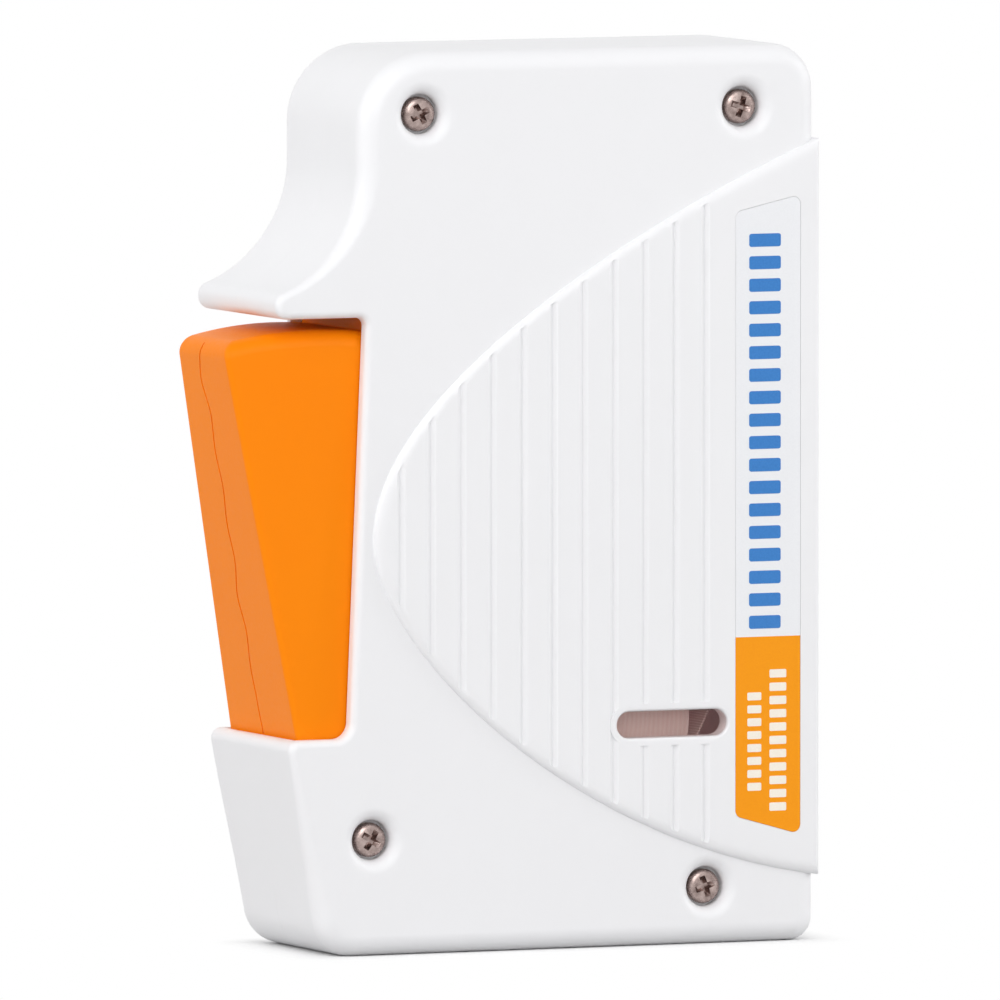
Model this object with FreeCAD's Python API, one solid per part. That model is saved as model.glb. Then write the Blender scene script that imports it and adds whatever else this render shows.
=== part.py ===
"""Fibre optic cleaning cassette: a press lever winds cleaning tape past a shuttered window.

Millimetres, +Z up. The case stands on its bottom edge, its front face looks to -Y, the
press lever is on the left (-X) and the cleaning window is in the right-hand side (+X).
Distances called "from right" are measured leftwards from the case's right-hand side.
"""
import FreeCAD
import Part
import math
import os
from FreeCAD import Vector

# Case
overall_width = 90.3
case_height = 130.0
case_depth = 30.0
wall = 2.0
block_wall = 2.1
rim_radius = 3.0
slim_rim_radius = 1.1
seam_chamfer = 0.1
inner_corner_radius = 0.4

# Case outline, widths from right and drops from the top
upper_width = 71.6
top_left_radius = 11.0
top_right_radius = 6.5
foot_left_radius = 6.0
foot_right_radius = 3.4
scoop_start_drop = 16.5
scoop_radius = 19.0
scoop_turn = 68.0
nose_reach = 13.4
nose_tip_radius = 1.8
nose_lean = 0.3
notch_top_drop = 38.0
notch_top_width = 70.8
notch_floor_z = 31.4
notch_floor_width = 73.4
notch_top_radius = 1.2
notch_corner_radius = 2.4
block_top_width = 83.2
block_foot_width = 77.5
block_top_radius = 1.5

# Raised panel on each face, and its ribbing
panel_raise = 1.0
panel_bevel = 1.9
panel_margin = 2.2
panel_apex_z = 60.0
panel_top_drop = 13.7
panel_foot_z = 9.6
panel_top_pull = 26.0
panel_top_slope = 0.4
panel_upper_cheek = 22.0
panel_lower_cheek = 16.0
panel_foot_pull = 38.0
panel_foot_slope = 0.14
panel_edge_radius = 0.9
round_over_steps = 3
groove_count = 11
groove_pitch = 4.78
groove_last_from_right = 18.2
groove_width = 1.4
groove_depth = 0.42
groove_end_inset = 1.0

# Sight slot over the supply tape, and its smoked pane
sight_from_right = 23.3
sight_z = 32.2
sight_length = 17.4
sight_height = 3.9
sight_lip = 1.1
sight_edge_radius = 0.5
pane_lap = 1.2
pane_flange = 0.8

# Label strip, with slanted ends
label_from_right = 3.2
label_width = 10.2
label_foot_z = 15.6
label_top_drop = 21.8
label_foot_slant = 2.9
label_top_slant = 2.3
label_corner_radius = 1.1
label_thickness = 0.28
label_recess = 0.3

# Case screws: from right, height
upper_screw_drop = 9.0
upper_screw_z = case_height - upper_screw_drop
screw_places = [(62.0, upper_screw_z), (11.6, upper_screw_z), (69.7, 16.7), (17.2, 8.3)]
screw_head_diameter = 5.0
screw_head_height = 1.9
screw_crown_radius = 0.76
screw_shank_diameter = 2.9
screw_length = 16.0
screw_bore_diameter = 5.8
screw_bore_depth = 3.0
screw_bore_rim = 2.0
screw_front_boss_diameter = 9.0
screw_rear_boss_diameter = 7.0
cross_width = 0.8
cross_span = 3.0
cross_depth = 1.1

# Press lever
lever_pivot_from_right = 75.5
lever_pivot_z = 27.0
lever_travel_deg = 10.0
lever_foot_width = 80.7
lever_foot_z = 27.8
lever_top_clearance = 1.1
lever_inner_width = 66.5
lever_inner_foot_width = 70.0
lever_half_width = 12.6
lever_tip_half_width = 8.9
lever_wall = 2.0
lever_edge_radius = 1.0
lever_top_edge_radius = 2.5
lever_top_trim = 0.31
lever_lip_rise = 1.2
pivot_pin_diameter = 4.0
pivot_barrel_diameter = 8.0
pivot_boss_diameter = 7.0
pivot_boss_length = 2.8
pivot_boss_clearance = 0.6
ear_thickness = 2.0
ear_height = 16.0

# Bell crank: toothed sector and shutter arm
gear_module = 1.0
pressure_angle_deg = 20.0
root_depth_in_modules = 1.25
flank_steps = 3
sector_teeth = 140
pinion_teeth = 20
sector_spare_deg = 3.6
sector_rim = 5.5
tooth_backlash = 0.4
crank_front_gap = 2.0
crank_thickness = 4.0
crank_rear_gap = 3.0
spoke_width = 7.0
lug_height = 14.0
lug_width = 5.0
arm_peg_setback = 4.5
arm_rest_deg = -1.5
arm_height = 4.0
arm_peg_diameter = 3.0

# Return spring under the arm
spring_along_arm = 40.0
spring_diameter = 5.0
spring_wire = 0.7
spring_turns = 7
spring_peg_diameter = 3.2
spring_peg_height = 3.0

# Reels and tape
tape_front_gap = 2.0
tape_thickness = 0.25
takeup_from_right = 32.0
takeup_hub_radius = 5.5
takeup_tape_radius = 12.0
takeup_flange_radius = 19.5
takeup_front_flange = 0.9
sleeve_diameter = 9.0
clutch_diameter = 12.0
supply_from_right = 38.0
supply_z = 33.0
supply_hub_radius = 7.0
supply_tape_radius = 19.5
supply_flange_radius = 21.0
flange_thickness = 1.5
flange_hole_diameter = 5.0
flange_hole_count = 6
reel_post_diameter = 6.0
post_collar_diameter = 9.0
brake_diameter = 12.0
brake_thickness = 1.6

# Cleaning window, shutter and what lies behind it
window_z = 65.25
window_height = 9.5
window_radius = 1.5
shutter_thickness = 1.4
shutter_overlap = 1.5
shutter_tail_front_y = 3.2
shutter_tail_rear_y = 10.5
shutter_lug_thickness = 2.0
shutter_lug_margin = 1.6
slot_guide_thickness = 2.2
slot_guide_height = 16.5
connector_slot_width = 4.5
connector_slot_height = 9.0
connector_slot_bridge = 2.0
pad_thickness = 3.0
pad_height = 14.0
pad_holder_depth = 5.4
pad_holder_wall = 2.0
guide_pin_diameter = 4.0
guide_pin_spacing = 26.0
guide_pin_boss_diameter = 7.0
rail_depth = 2.2
rail_length = 20.0

# Clearances
running_clearance = 0.05
fitted_gap = 0.05
moving_gap = 0.3
side_gap = 0.2
tolerance = 1e-6

# Places worked out from the sizes above
right_x = overall_width / 2
inner_right_x = right_x - wall
front_y = -case_depth / 2
inner_front_y = front_y + wall
inner_rear_y = -inner_front_y
panel_y = front_y - panel_raise
scoop_start_z = case_height - scoop_start_drop
nose_width = upper_width + nose_reach
notch_top_z = case_height - notch_top_drop
panel_top_z = case_height - panel_top_drop
inner_upper_x = right_x - upper_width + wall
label_top_z = case_height - label_top_drop
pivot_x = right_x - lever_pivot_from_right
pivot = Vector(pivot_x, 0, lever_pivot_z)
lever_top_radius = notch_top_z - lever_pivot_z - lever_top_clearance
sector_radius = gear_module * sector_teeth / 2
pinion_radius = gear_module * pinion_teeth / 2
takeup_x = right_x - takeup_from_right
takeup_z = lever_pivot_z + math.sqrt((sector_radius + pinion_radius) ** 2 - (takeup_x - pivot_x) ** 2)
takeup = Vector(takeup_x, 0, takeup_z)
supply = Vector(right_x - supply_from_right, 0, supply_z)
mesh_deg = math.degrees(math.atan2(takeup_z - lever_pivot_z, takeup_x - pivot_x))
crank_rear_y = inner_rear_y - crank_rear_gap
crank_front_y = crank_rear_y - crank_thickness
flange_rear_y = crank_front_y - crank_front_gap
tape_front_y = inner_front_y + tape_front_gap
tape_rear_y = flange_rear_y - flange_thickness
tape_width = tape_rear_y - tape_front_y
tape_middle_y = (tape_front_y + tape_rear_y) / 2
brake_front_y = flange_rear_y + side_gap
shutter_outer_x = inner_right_x - moving_gap
shutter_inner_x = shutter_outer_x - shutter_thickness
slot_guide_outer_x = shutter_inner_x - moving_gap
slot_guide_inner_x = slot_guide_outer_x - slot_guide_thickness
tape_outer_x = slot_guide_inner_x - moving_gap
tape_inner_x = tape_outer_x - tape_thickness
guide_pin_x = tape_inner_x - guide_pin_diameter / 2
guide_pin_heights = [window_z - guide_pin_spacing / 2, window_z + guide_pin_spacing / 2]
pad_back_x = tape_inner_x - pad_thickness
holder_back_x = pad_back_x - pad_holder_depth
arm_pressed_deg = arm_rest_deg - lever_travel_deg
arm_reach = shutter_inner_x - arm_peg_setback - pivot_x
arm_length = arm_reach / math.cos(math.radians(arm_rest_deg))


def around_pivot(radius, degrees):
    """Point in the XZ plane at a radius and an angle from +X about the lever's pivot."""
    angle = math.radians(degrees)
    return Vector(pivot_x + radius * math.cos(angle), 0, lever_pivot_z + radius * math.sin(angle))


arm_tip = around_pivot(arm_length, arm_rest_deg)
arm_tip_pressed = around_pivot(arm_length, arm_pressed_deg)
shutter_travel = arm_tip.z - arm_tip_pressed.z


def from_right(distance):
    """X of a place measured leftwards from the case's right-hand side."""
    return right_x - distance


def prism(face, start_y, end_y):
    """Solid that a face in the XZ plane sweeps from start_y to end_y."""
    moved = face.copy()
    moved.translate(Vector(0, start_y, 0))
    return moved.extrude(Vector(0, end_y - start_y, 0))


def polygon(points):
    """Face in the XZ plane through (x, z) points or vectors."""
    corners = [Vector(p.x, 0, p.z) if isinstance(p, Vector) else Vector(p[0], 0, p[1]) for p in points]
    return Part.Face(Part.makePolygon(corners + corners[:1]))


def cylinder(centre, diameter, start_y, end_y):
    """Round bar along Y, centred on a place in the XZ plane."""
    base = Vector(centre.x, start_y, centre.z)
    return Part.makeCylinder(diameter / 2, end_y - start_y, base, Vector(0, 1, 0))


def ring(centre, outer, inner, start_y, end_y):
    """Tube along Y."""
    return cylinder(centre, outer, start_y, end_y).cut(cylinder(centre, inner, start_y, end_y))


def box(low, high):
    """Block between two corners."""
    size = [b - a for a, b in zip(low, high)]
    return Part.makeBox(size[0], size[1], size[2], Vector(*low))


def fuse(shapes):
    """One solid from several that meet."""
    return shapes[0].multiFuse(shapes[1:]).removeSplitter()


def rounded_corner(before, here, after, radius):
    """Start, middle and end of the arc that rounds one corner of an outline."""
    to_before = (before - here).normalize()
    to_after = (after - here).normalize()
    half = to_before.getAngle(to_after) / 2
    bisector = (to_before + to_after).normalize()
    centre = here + bisector * (radius / math.sin(half))
    reach = radius / math.tan(half)
    return here + to_before * reach, centre - bisector * radius, here + to_after * reach


def corner_arcs(corners):
    """Arc at each (x, z, radius, ...) corner of an outline, as start, middle and end."""
    points = [Vector(corner[0], 0, corner[1]) for corner in corners]
    arcs = []
    for i, point in enumerate(points):
        following = points[(i + 1) % len(points)]
        arcs.append(rounded_corner(points[i - 1], point, following, corners[i][2]))
    return arcs


def rounded_face(corners):
    """Face in the XZ plane with each of its (x, z, radius, ...) corners rounded."""
    arcs = corner_arcs(corners)
    edges = []
    for i, (start, middle, end) in enumerate(arcs):
        edges.append(Part.LineSegment(arcs[i - 1][2], start).toShape())
        edges.append(Part.Arc(start, middle, end).toShape())
    return Part.Face(Part.Wire(edges))


# Case shells
scoop_corner_z = scoop_start_z - scoop_radius * math.tan(math.radians(scoop_turn / 2))
nose_fall = (nose_width - upper_width) / math.tan(math.radians(scoop_turn))
# Each corner: x, z, corner radius, and the rim's radius where its arc starts and ends
full, slim = rim_radius, slim_rim_radius
outline = [
    (from_right(0), 0, foot_right_radius, full, full),
    (from_right(0), case_height, top_right_radius, full, full),
    (from_right(upper_width), case_height, top_left_radius, full, full),
    (from_right(upper_width), scoop_corner_z, scoop_radius, full, slim),
    (from_right(nose_width), scoop_corner_z - nose_fall, nose_tip_radius, slim, slim),
    (from_right(nose_width - nose_lean), notch_top_z, nose_tip_radius, slim, slim),
    (from_right(notch_top_width), notch_top_z, notch_top_radius, slim, slim),
    (from_right(notch_floor_width), notch_floor_z, notch_corner_radius, slim, slim),
    (from_right(block_top_width), notch_floor_z, block_top_radius, slim, slim),
    (from_right(block_foot_width), 0, foot_left_radius, full, full),
]


def rolled_rim(solid, rim_y):
    """Rounds the rim of a half shell with the radii that the outline gives."""
    radii = {}
    for corner, (start, _, end) in zip(outline, corner_arcs(outline)):
        radii[(round(start.x, 3), round(start.z, 3))] = corner[3]
        radii[(round(end.x, 3), round(end.z, 3))] = corner[4]
    document = FreeCAD.newDocument("rim")
    base = document.addObject("Part::Feature", "Base")
    base.Shape = solid
    fillet = document.addObject("Part::Fillet", "Rim")
    fillet.Base = base
    picked = []
    for index, edge in enumerate(solid.Edges, 1):
        ends = [edge.valueAt(edge.FirstParameter), edge.valueAt(edge.LastParameter)]
        if all(abs(end.y - rim_y) < tolerance for end in ends):
            sizes = [radii[(round(end.x, 3), round(end.z, 3))] for end in ends]
            picked.append((index, sizes[0], sizes[1]))
    fillet.Edges = picked
    document.recompute()
    rounded = fillet.Shape.copy()
    FreeCAD.closeDocument(document.Name)
    return rounded


def notch_edge_x(height):
    """X of the notch's right-hand edge at a height."""
    share = (height - notch_floor_z) / (notch_top_z - notch_floor_z)
    return from_right(notch_floor_width + share * (notch_top_width - notch_floor_width))


def panel_wire(inset, y):
    """Outline of the raised panel, drawn in by an inset and placed at a depth."""
    apex_x = notch_edge_x(panel_apex_z) + panel_margin + inset
    top = Vector(right_x, y, panel_top_z - inset)
    foot = Vector(right_x, y, panel_foot_z + inset)
    apex = Vector(apex_x, y, panel_apex_z)
    upper = Part.BezierCurve()
    shoulder = top + Vector(-panel_top_pull, 0, -panel_top_pull * panel_top_slope)
    upper.setPoles([top, shoulder, apex + Vector(0, 0, panel_upper_cheek), apex])
    lower = Part.BezierCurve()
    sweep = foot + Vector(-panel_foot_pull, 0, panel_foot_pull * panel_foot_slope)
    lower.setPoles([apex, apex - Vector(0, 0, panel_lower_cheek), sweep, foot])
    side = Part.LineSegment(foot, top)
    return Part.Wire([upper.toShape(), lower.toShape(), side.toShape()])


def raised_panel():
    """Raised panel with a rounded shoulder, rooted below the case's rolled rim."""
    root = Part.Face(panel_wire(0, front_y)).extrude(Vector(0, rim_radius, 0))
    sections = []
    for step in range(round_over_steps + 1):
        turn = math.pi / 2 * step / round_over_steps
        inset = panel_bevel * (1 - math.cos(turn))
        sections.append(panel_wire(inset, front_y - panel_raise * math.sin(turn)))
    crown = Part.makeLoft(sections, True, False)
    bar = box((from_right(overall_width), panel_y, 0), (right_x, front_y + rim_radius, case_height))
    corner = [
        edge for edge in bar.Edges
        if abs(edge.CenterOfMass.x - right_x) < tolerance and abs(edge.CenterOfMass.y - panel_y) < tolerance
    ]
    return fuse([root, crown]).common(bar.makeFillet(panel_edge_radius, corner))


def pill_wire(growth, y):
    """Outline of the sight slot, grown all round and placed at a depth."""
    centre = Vector(from_right(sight_from_right), y, sight_z)
    radius = sight_height / 2 + growth
    side = Vector((sight_length - sight_height) / 2, 0, 0)
    up = Vector(0, 0, radius)
    out = Vector(radius, 0, 0)
    return Part.Wire([
        Part.LineSegment(centre - side + up, centre + side + up).toShape(),
        Part.Arc(centre + side + up, centre + side + out, centre + side - up).toShape(),
        Part.LineSegment(centre + side - up, centre - side - up).toShape(),
        Part.Arc(centre - side - up, centre - side - out, centre - side + up).toShape(),
    ])


def pill(growth, start_y, end_y):
    """Block of the sight slot's outline, grown all round."""
    return Part.Face(pill_wire(growth, start_y)).extrude(Vector(0, end_y - start_y, 0))


def sight_mouth():
    """Rounded mouth of the sight slot."""
    sections = []
    for step in range(round_over_steps + 1):
        turn = math.pi / 2 * step / round_over_steps
        growth = sight_edge_radius * (1 - math.cos(turn))
        sections.append(pill_wire(growth, panel_y + sight_edge_radius * (1 - math.sin(turn))))
    return Part.makeLoft(sections, True, True)


def grooves():
    """Shallow vee grooves that rib the panel and end on its rounded shoulder."""
    cuts = []
    spare = groove_depth
    half = groove_width / 2 * (groove_depth + spare) / groove_depth
    for i in range(groove_count):
        x = from_right(groove_last_from_right + i * groove_pitch)
        corners = [
            Vector(x - half, panel_y - spare, 0),
            Vector(x + half, panel_y - spare, 0),
            Vector(x, panel_y + groove_depth, 0),
        ]
        vee = Part.Face(Part.makePolygon(corners + corners[:1]))
        cuts.append(vee.extrude(Vector(0, 0, case_height)))
    area = Part.Face(panel_wire(groove_end_inset, panel_y - panel_raise))
    return Part.makeCompound(cuts).common(area.extrude(Vector(0, 2 * panel_raise, 0)))


def label_face(inset):
    """Outline of the label strip: upright sides and slanted ends."""
    right = from_right(label_from_right) - inset
    left = right - label_width + 2 * inset
    radius = label_corner_radius - inset
    return rounded_face([
        (left, label_foot_z + label_foot_slant + inset, radius),
        (right, label_foot_z + inset, radius),
        (right, label_top_z - inset, radius),
        (left, label_top_z - label_top_slant - inset, radius),
    ])


def window_opening():
    """Cleaning window through the right-hand wall."""
    half_y = tape_width / 2 - side_gap
    low = (inner_right_x - wall, tape_middle_y - half_y, window_z - window_height / 2)
    high = (right_x + wall, tape_middle_y + half_y, window_z + window_height / 2)
    block = box(low, high)
    along_x = [edge for edge in block.Edges if edge.BoundBox.XLength > wall]
    return block.makeFillet(window_radius, along_x)


def case_cavity(start_y, end_y):
    """Inside of a half shell, open at the lever's notch."""
    block_slope = (block_top_width - block_foot_width) / notch_floor_z
    past_notch = from_right(nose_width + wall)
    top_z = case_height - wall
    return prism(rounded_face([
        (inner_right_x, wall, foot_right_radius - wall),
        (inner_right_x, top_z, top_right_radius - wall),
        (inner_upper_x, top_z, top_left_radius - wall),
        (inner_upper_x, notch_top_z, inner_corner_radius),
        (past_notch, notch_top_z, inner_corner_radius),
        (past_notch, notch_floor_z, inner_corner_radius),
        (from_right(block_top_width - block_wall), notch_floor_z, inner_corner_radius),
        (from_right(block_foot_width - block_wall + block_slope * wall), wall, foot_left_radius - wall),
    ]), start_y, end_y)


def half_shell():
    """Front half of the case as a closed form: rolled rim, chamfered seam and raised panel."""
    body = prism(rounded_face(outline), front_y, 0)
    seam = [edge for edge in body.Edges if edge.BoundBox.YMin > -tolerance]
    body = body.makeChamfer(seam_chamfer, seam)
    return fuse([rolled_rim(body, front_y), raised_panel()])


def screw_places_xz():
    """Centres of the case screws."""
    return [Vector(from_right(distance), 0, height) for distance, height in screw_places]


def shutter_rail(start_y, end_y):
    """Rib that keeps the lowered shutter against the right-hand wall."""
    foot = window_z - slot_guide_height / 2 - moving_gap
    low = (slot_guide_outer_x - rail_depth, start_y, foot - rail_length)
    return box(low, (slot_guide_outer_x, end_y, foot))


def make_front_cover():
    """Front shell: sight slot, label recess, counterbored screw holes and inner bosses."""
    shell = half_shell()
    shell = shell.cut(grooves().cut(pill(sight_lip, panel_y - panel_raise, front_y)))
    shell = shell.cut(case_cavity(inner_front_y, 0))
    bosses = [cylinder(place, screw_front_boss_diameter, inner_front_y, 0) for place in screw_places_xz()]
    bosses.append(cylinder(pivot, pivot_boss_diameter, inner_front_y, inner_front_y + pivot_boss_length))
    ring_end = tape_front_y - takeup_front_flange - moving_gap
    for centre in (takeup, supply):
        bosses.append(cylinder(centre, post_collar_diameter, inner_front_y, ring_end))
    bosses.append(shutter_rail(inner_front_y, inner_front_y + rail_depth))
    shell = fuse([shell] + bosses)
    seat_y = front_y + screw_bore_depth
    for place in screw_places_xz():
        shell = shell.cut(cylinder(place, screw_bore_diameter, panel_y, seat_y))
        shell = shell.cut(cylinder(place, screw_shank_diameter + 2 * side_gap, seat_y, 0))
    rims = [
        edge for edge in shell.Edges
        if isinstance(edge.Curve, Part.Circle)
        and abs(edge.Curve.Radius - screw_bore_diameter / 2) < tolerance
        and abs(edge.Curve.Center.y - front_y) < tolerance
    ]
    shell = shell.makeFillet(screw_bore_rim, rims)
    cuts = [
        pill(0, panel_y, 0),
        sight_mouth(),
        prism(label_face(-fitted_gap), panel_y, panel_y + label_recess),
        cylinder(pivot, pivot_pin_diameter, inner_front_y, 0),
        window_opening(),
    ]
    for centre in (takeup, supply):
        cuts.append(cylinder(centre, reel_post_diameter + 2 * running_clearance, inner_front_y, 0))
    for cut in cuts:
        shell = shell.cut(cut)
    return shell


def make_rear_cover():
    """Rear shell: mirror of the front one, with the reel posts and screw bosses."""
    shell = half_shell().cut(grooves()).mirror(Vector(0, 0, 0), Vector(0, 1, 0))
    shell = shell.cut(case_cavity(0, inner_rear_y))
    boss_start = inner_rear_y - pivot_boss_length
    bosses = [cylinder(place, screw_rear_boss_diameter, 0, inner_rear_y) for place in screw_places_xz()]
    bosses.append(cylinder(pivot, pivot_boss_diameter, boss_start, inner_rear_y))
    post_tip_y = inner_front_y + side_gap
    for centre in (takeup, supply):
        bosses.append(cylinder(centre, reel_post_diameter, post_tip_y, inner_rear_y))
    collar_y = crank_rear_y + moving_gap
    bosses.append(cylinder(takeup, post_collar_diameter, collar_y, inner_rear_y))
    bosses.append(cylinder(supply, post_collar_diameter, brake_front_y + brake_thickness, inner_rear_y))
    for height in guide_pin_heights:
        centre = Vector(guide_pin_x, 0, height)
        bosses.append(cylinder(centre, guide_pin_boss_diameter, flange_rear_y, inner_rear_y))
    bosses.append(shutter_rail(inner_rear_y - rail_depth, inner_rear_y))
    spring = around_pivot(spring_along_arm, arm_rest_deg)
    peg_y = (crank_front_y + crank_rear_y) / 2
    peg_base = Vector(spring.x, peg_y, wall)
    bosses.append(Part.makeCylinder(spring_peg_diameter / 2, spring_peg_height, peg_base))
    shell = fuse([shell] + bosses)
    pilot_end = front_y + screw_bore_depth + screw_length
    for place in screw_places_xz():
        shell = shell.cut(cylinder(place, screw_shank_diameter, 0, pilot_end + moving_gap))
    shell = shell.cut(cylinder(pivot, pivot_pin_diameter, boss_start, inner_rear_y))
    for height in guide_pin_heights:
        shell = shell.cut(cylinder(Vector(guide_pin_x, 0, height), guide_pin_diameter, 0, inner_rear_y))
    return shell.cut(window_opening())


def make_case_screws():
    """Four pan-head screws with a cross recess, seated in the counterbores."""
    seat_y = front_y + screw_bore_depth
    top_y = seat_y - screw_head_height
    screws = []
    for place in screw_places_xz():
        head = cylinder(place, screw_head_diameter, top_y, seat_y)
        crown = [edge for edge in head.Edges if edge.BoundBox.YMax < seat_y - screw_crown_radius]
        head = head.makeFillet(screw_crown_radius, crown)
        shank = cylinder(place, screw_shank_diameter, seat_y, seat_y + screw_length)
        screw = fuse([head, shank])
        for along, across in ((cross_span, cross_width), (cross_width, cross_span)):
            low = (place.x - along / 2, top_y, place.z - across / 2)
            high = (place.x + along / 2, top_y + cross_depth, place.z + across / 2)
            screw = screw.cut(box(low, high))
        screws.append(screw)
    return Part.makeCompound(screws)


def make_label():
    """Label strip in its shallow recess."""
    floor_y = panel_y + label_recess
    return prism(label_face(0), floor_y - label_thickness, floor_y)


def make_sight_pane():
    """Smoked pane that fills the sight slot, with a flange behind the front wall."""
    plug = pill(-fitted_gap, panel_y + sight_edge_radius, inner_front_y)
    return fuse([plug, pill(pane_lap, inner_front_y, inner_front_y + pane_flange)])


# Press lever, its outer top corner drawn out by what the rounding takes off
lever_top_x = from_right(overall_width + lever_top_trim)
lever_top_z = lever_pivot_z + math.sqrt(lever_top_radius ** 2 - (lever_top_x - pivot_x) ** 2)
lever_slope = (overall_width + lever_top_trim - lever_foot_width) / (lever_top_z - notch_floor_z)


def lever_outer_x(height, inset=0.0):
    """X of the lever's outer face, or of its inner wall, at a height."""
    width = lever_foot_width + lever_slope * (height - notch_floor_z)
    return from_right(width) + inset * math.sqrt(1 + lever_slope ** 2)


def lever_profile(inset, inner_reach):
    """Side outline of the lever: sloped outer face and a top that is an arc about the pivot."""
    top_radius = lever_top_radius - inset
    inner_top_x = from_right(lever_inner_width) + inner_reach
    inner_top_z = lever_pivot_z + math.sqrt(top_radius ** 2 - (inner_top_x - pivot_x) ** 2)
    reach_at_pivot = lever_outer_x(lever_pivot_z, inset) - pivot_x
    lean = 1 + lever_slope ** 2
    rise = (reach_at_pivot * lever_slope + math.sqrt(top_radius ** 2 * lean - reach_at_pivot ** 2)) / lean
    outer_top_z = lever_pivot_z + rise
    outer_foot = Vector(lever_outer_x(lever_foot_z, inset), 0, lever_foot_z)
    inner_foot = Vector(from_right(lever_inner_foot_width) + inner_reach, 0, lever_foot_z)
    outer_top = Vector(lever_outer_x(outer_top_z, inset), 0, outer_top_z)
    inner_top = Vector(inner_top_x, 0, inner_top_z)
    crown = Part.Arc(outer_top, Vector(pivot_x, 0, lever_pivot_z + top_radius), inner_top)
    return Part.Face(Part.Wire([
        Part.LineSegment(outer_foot, outer_top).toShape(),
        crown.toShape(),
        Part.LineSegment(inner_top, inner_foot).toShape(),
        Part.LineSegment(inner_foot, outer_foot).toShape(),
    ]))


def flank_taper(side, inset):
    """Block beyond the plane that narrows one flank towards the lever's outer top."""
    half = lever_half_width - inset
    crease_top = Vector(from_right(notch_top_width), side * half, notch_top_z)
    crease_foot = Vector(lever_outer_x(notch_floor_z), side * half, notch_floor_z)
    tip = Vector(lever_top_x, side * (lever_tip_half_width - inset), lever_top_z)
    along = (crease_foot - crease_top).normalize()
    out = (tip - crease_top).cross(along).normalize()
    if out.y * side < 0:
        out = out * -1
    across = out.cross(along)
    reach = case_height
    corners = [
        crease_top + along * (reach * a) + across * (reach * b)
        for a, b in ((-1, -1), (1, -1), (1, 1), (-1, 1))
    ]
    return Part.Face(Part.makePolygon(corners + corners[:1])).extrude(out * case_depth)


def is_outer_corner(edge):
    """Whether an edge of the lever's block runs up the outer face."""
    bounds = edge.BoundBox
    return bounds.XMax < pivot_x and bounds.ZMax - bounds.ZMin > ear_height


def is_top_edge(edge):
    """Whether an edge of the lever's block goes round its top, apart from the end inside the case."""
    bounds = edge.BoundBox
    inside = bounds.XMin > from_right(lever_inner_width) - wall
    return bounds.ZMin > lever_top_z - wall and not inside


def stop_lip():
    """Lip on the lever's top that rests behind the wall over the notch."""
    low_x = inner_upper_x + moving_gap
    foot_z = lever_pivot_z + lever_top_radius - lever_wall
    half = lever_half_width - side_gap
    return box((low_x, -half, foot_z), (low_x + lever_wall, half, notch_top_z + lever_lip_rise))


def make_lever():
    """Hollow lever, open towards the inside of the case, on a barrel with two ears."""
    block = prism(lever_profile(0, 0), -lever_half_width, lever_half_width)
    hollow_half = lever_half_width - lever_wall
    hollow = prism(lever_profile(lever_wall, lever_wall), -hollow_half, hollow_half)
    for side in (-1, 1):
        block = block.cut(flank_taper(side, 0))
        hollow = hollow.cut(flank_taper(side, lever_wall))
    block = block.makeFillet(lever_edge_radius, [edge for edge in block.Edges if is_outer_corner(edge)])
    block = block.makeFillet(lever_top_edge_radius, [edge for edge in block.Edges if is_top_edge(edge)])
    barrel_front = inner_front_y + pivot_boss_length + moving_gap
    barrel_rear = crank_front_y - moving_gap
    shell = block.cut(hollow)
    for start, end in ((-lever_half_width, barrel_front), (barrel_rear, lever_half_width)):
        shell = shell.cut(cylinder(pivot, pivot_boss_diameter + 2 * pivot_boss_clearance, start, end))
    ear_foot = lever_pivot_z + lever_wall
    ear_top = lever_pivot_z + ear_height
    root = lever_wall / 2
    ear = polygon([
        (pivot_x - pivot_barrel_diameter / 2, lever_pivot_z),
        (lever_outer_x(ear_foot, root), ear_foot),
        (lever_outer_x(ear_top, root), ear_top),
        (pivot_x + pivot_barrel_diameter / 2, lever_pivot_z),
    ])
    barrel = cylinder(pivot, pivot_barrel_diameter, barrel_front, barrel_rear)
    front_ear = prism(ear, barrel_front, barrel_front + ear_thickness)
    rear_ear = prism(ear, barrel_rear - ear_thickness, barrel_rear)
    lever = fuse([shell, barrel, front_ear, rear_ear, stop_lip()])
    bore = pivot_pin_diameter + 2 * running_clearance
    return lever.cut(cylinder(pivot, bore, barrel_front, barrel_rear))


def make_lever_pin():
    """Steel pin held at both ends by the case."""
    return cylinder(pivot, pivot_pin_diameter, inner_front_y, inner_rear_y)


# Gear teeth
def involute_angle(base_radius, radius):
    """Involute function of the pressure angle at a radius."""
    pressure = math.acos(min(1.0, base_radius / radius))
    return math.tan(pressure) - pressure


def tooth_points(teeth, centre, middle_deg):
    """Points round one involute tooth, from its clockwise root to the other."""
    pitch = gear_module * teeth / 2
    base = pitch * math.cos(math.radians(pressure_angle_deg))
    root = pitch - root_depth_in_modules * gear_module
    tip = pitch + gear_module
    half_thick = (math.pi * gear_module - tooth_backlash) / 4 / pitch
    lowest = max(base, root)
    radii = [lowest + (tip - lowest) * k / flank_steps for k in range(flank_steps + 1)]
    flank = []
    for radius in radii:
        spread = half_thick + involute_angle(base, pitch) - involute_angle(base, radius)
        flank.append((radius, spread))
    if root < base:
        flank.insert(0, (root, flank[0][1]))
    middle = math.radians(middle_deg)
    points = []
    for radius, spread in flank:
        points.append((radius, middle - spread))
    for radius, spread in reversed(flank):
        points.append((radius, middle + spread))
    return [
        Vector(centre.x + radius * math.cos(angle), 0, centre.z + radius * math.sin(angle))
        for radius, angle in points
    ]


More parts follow.
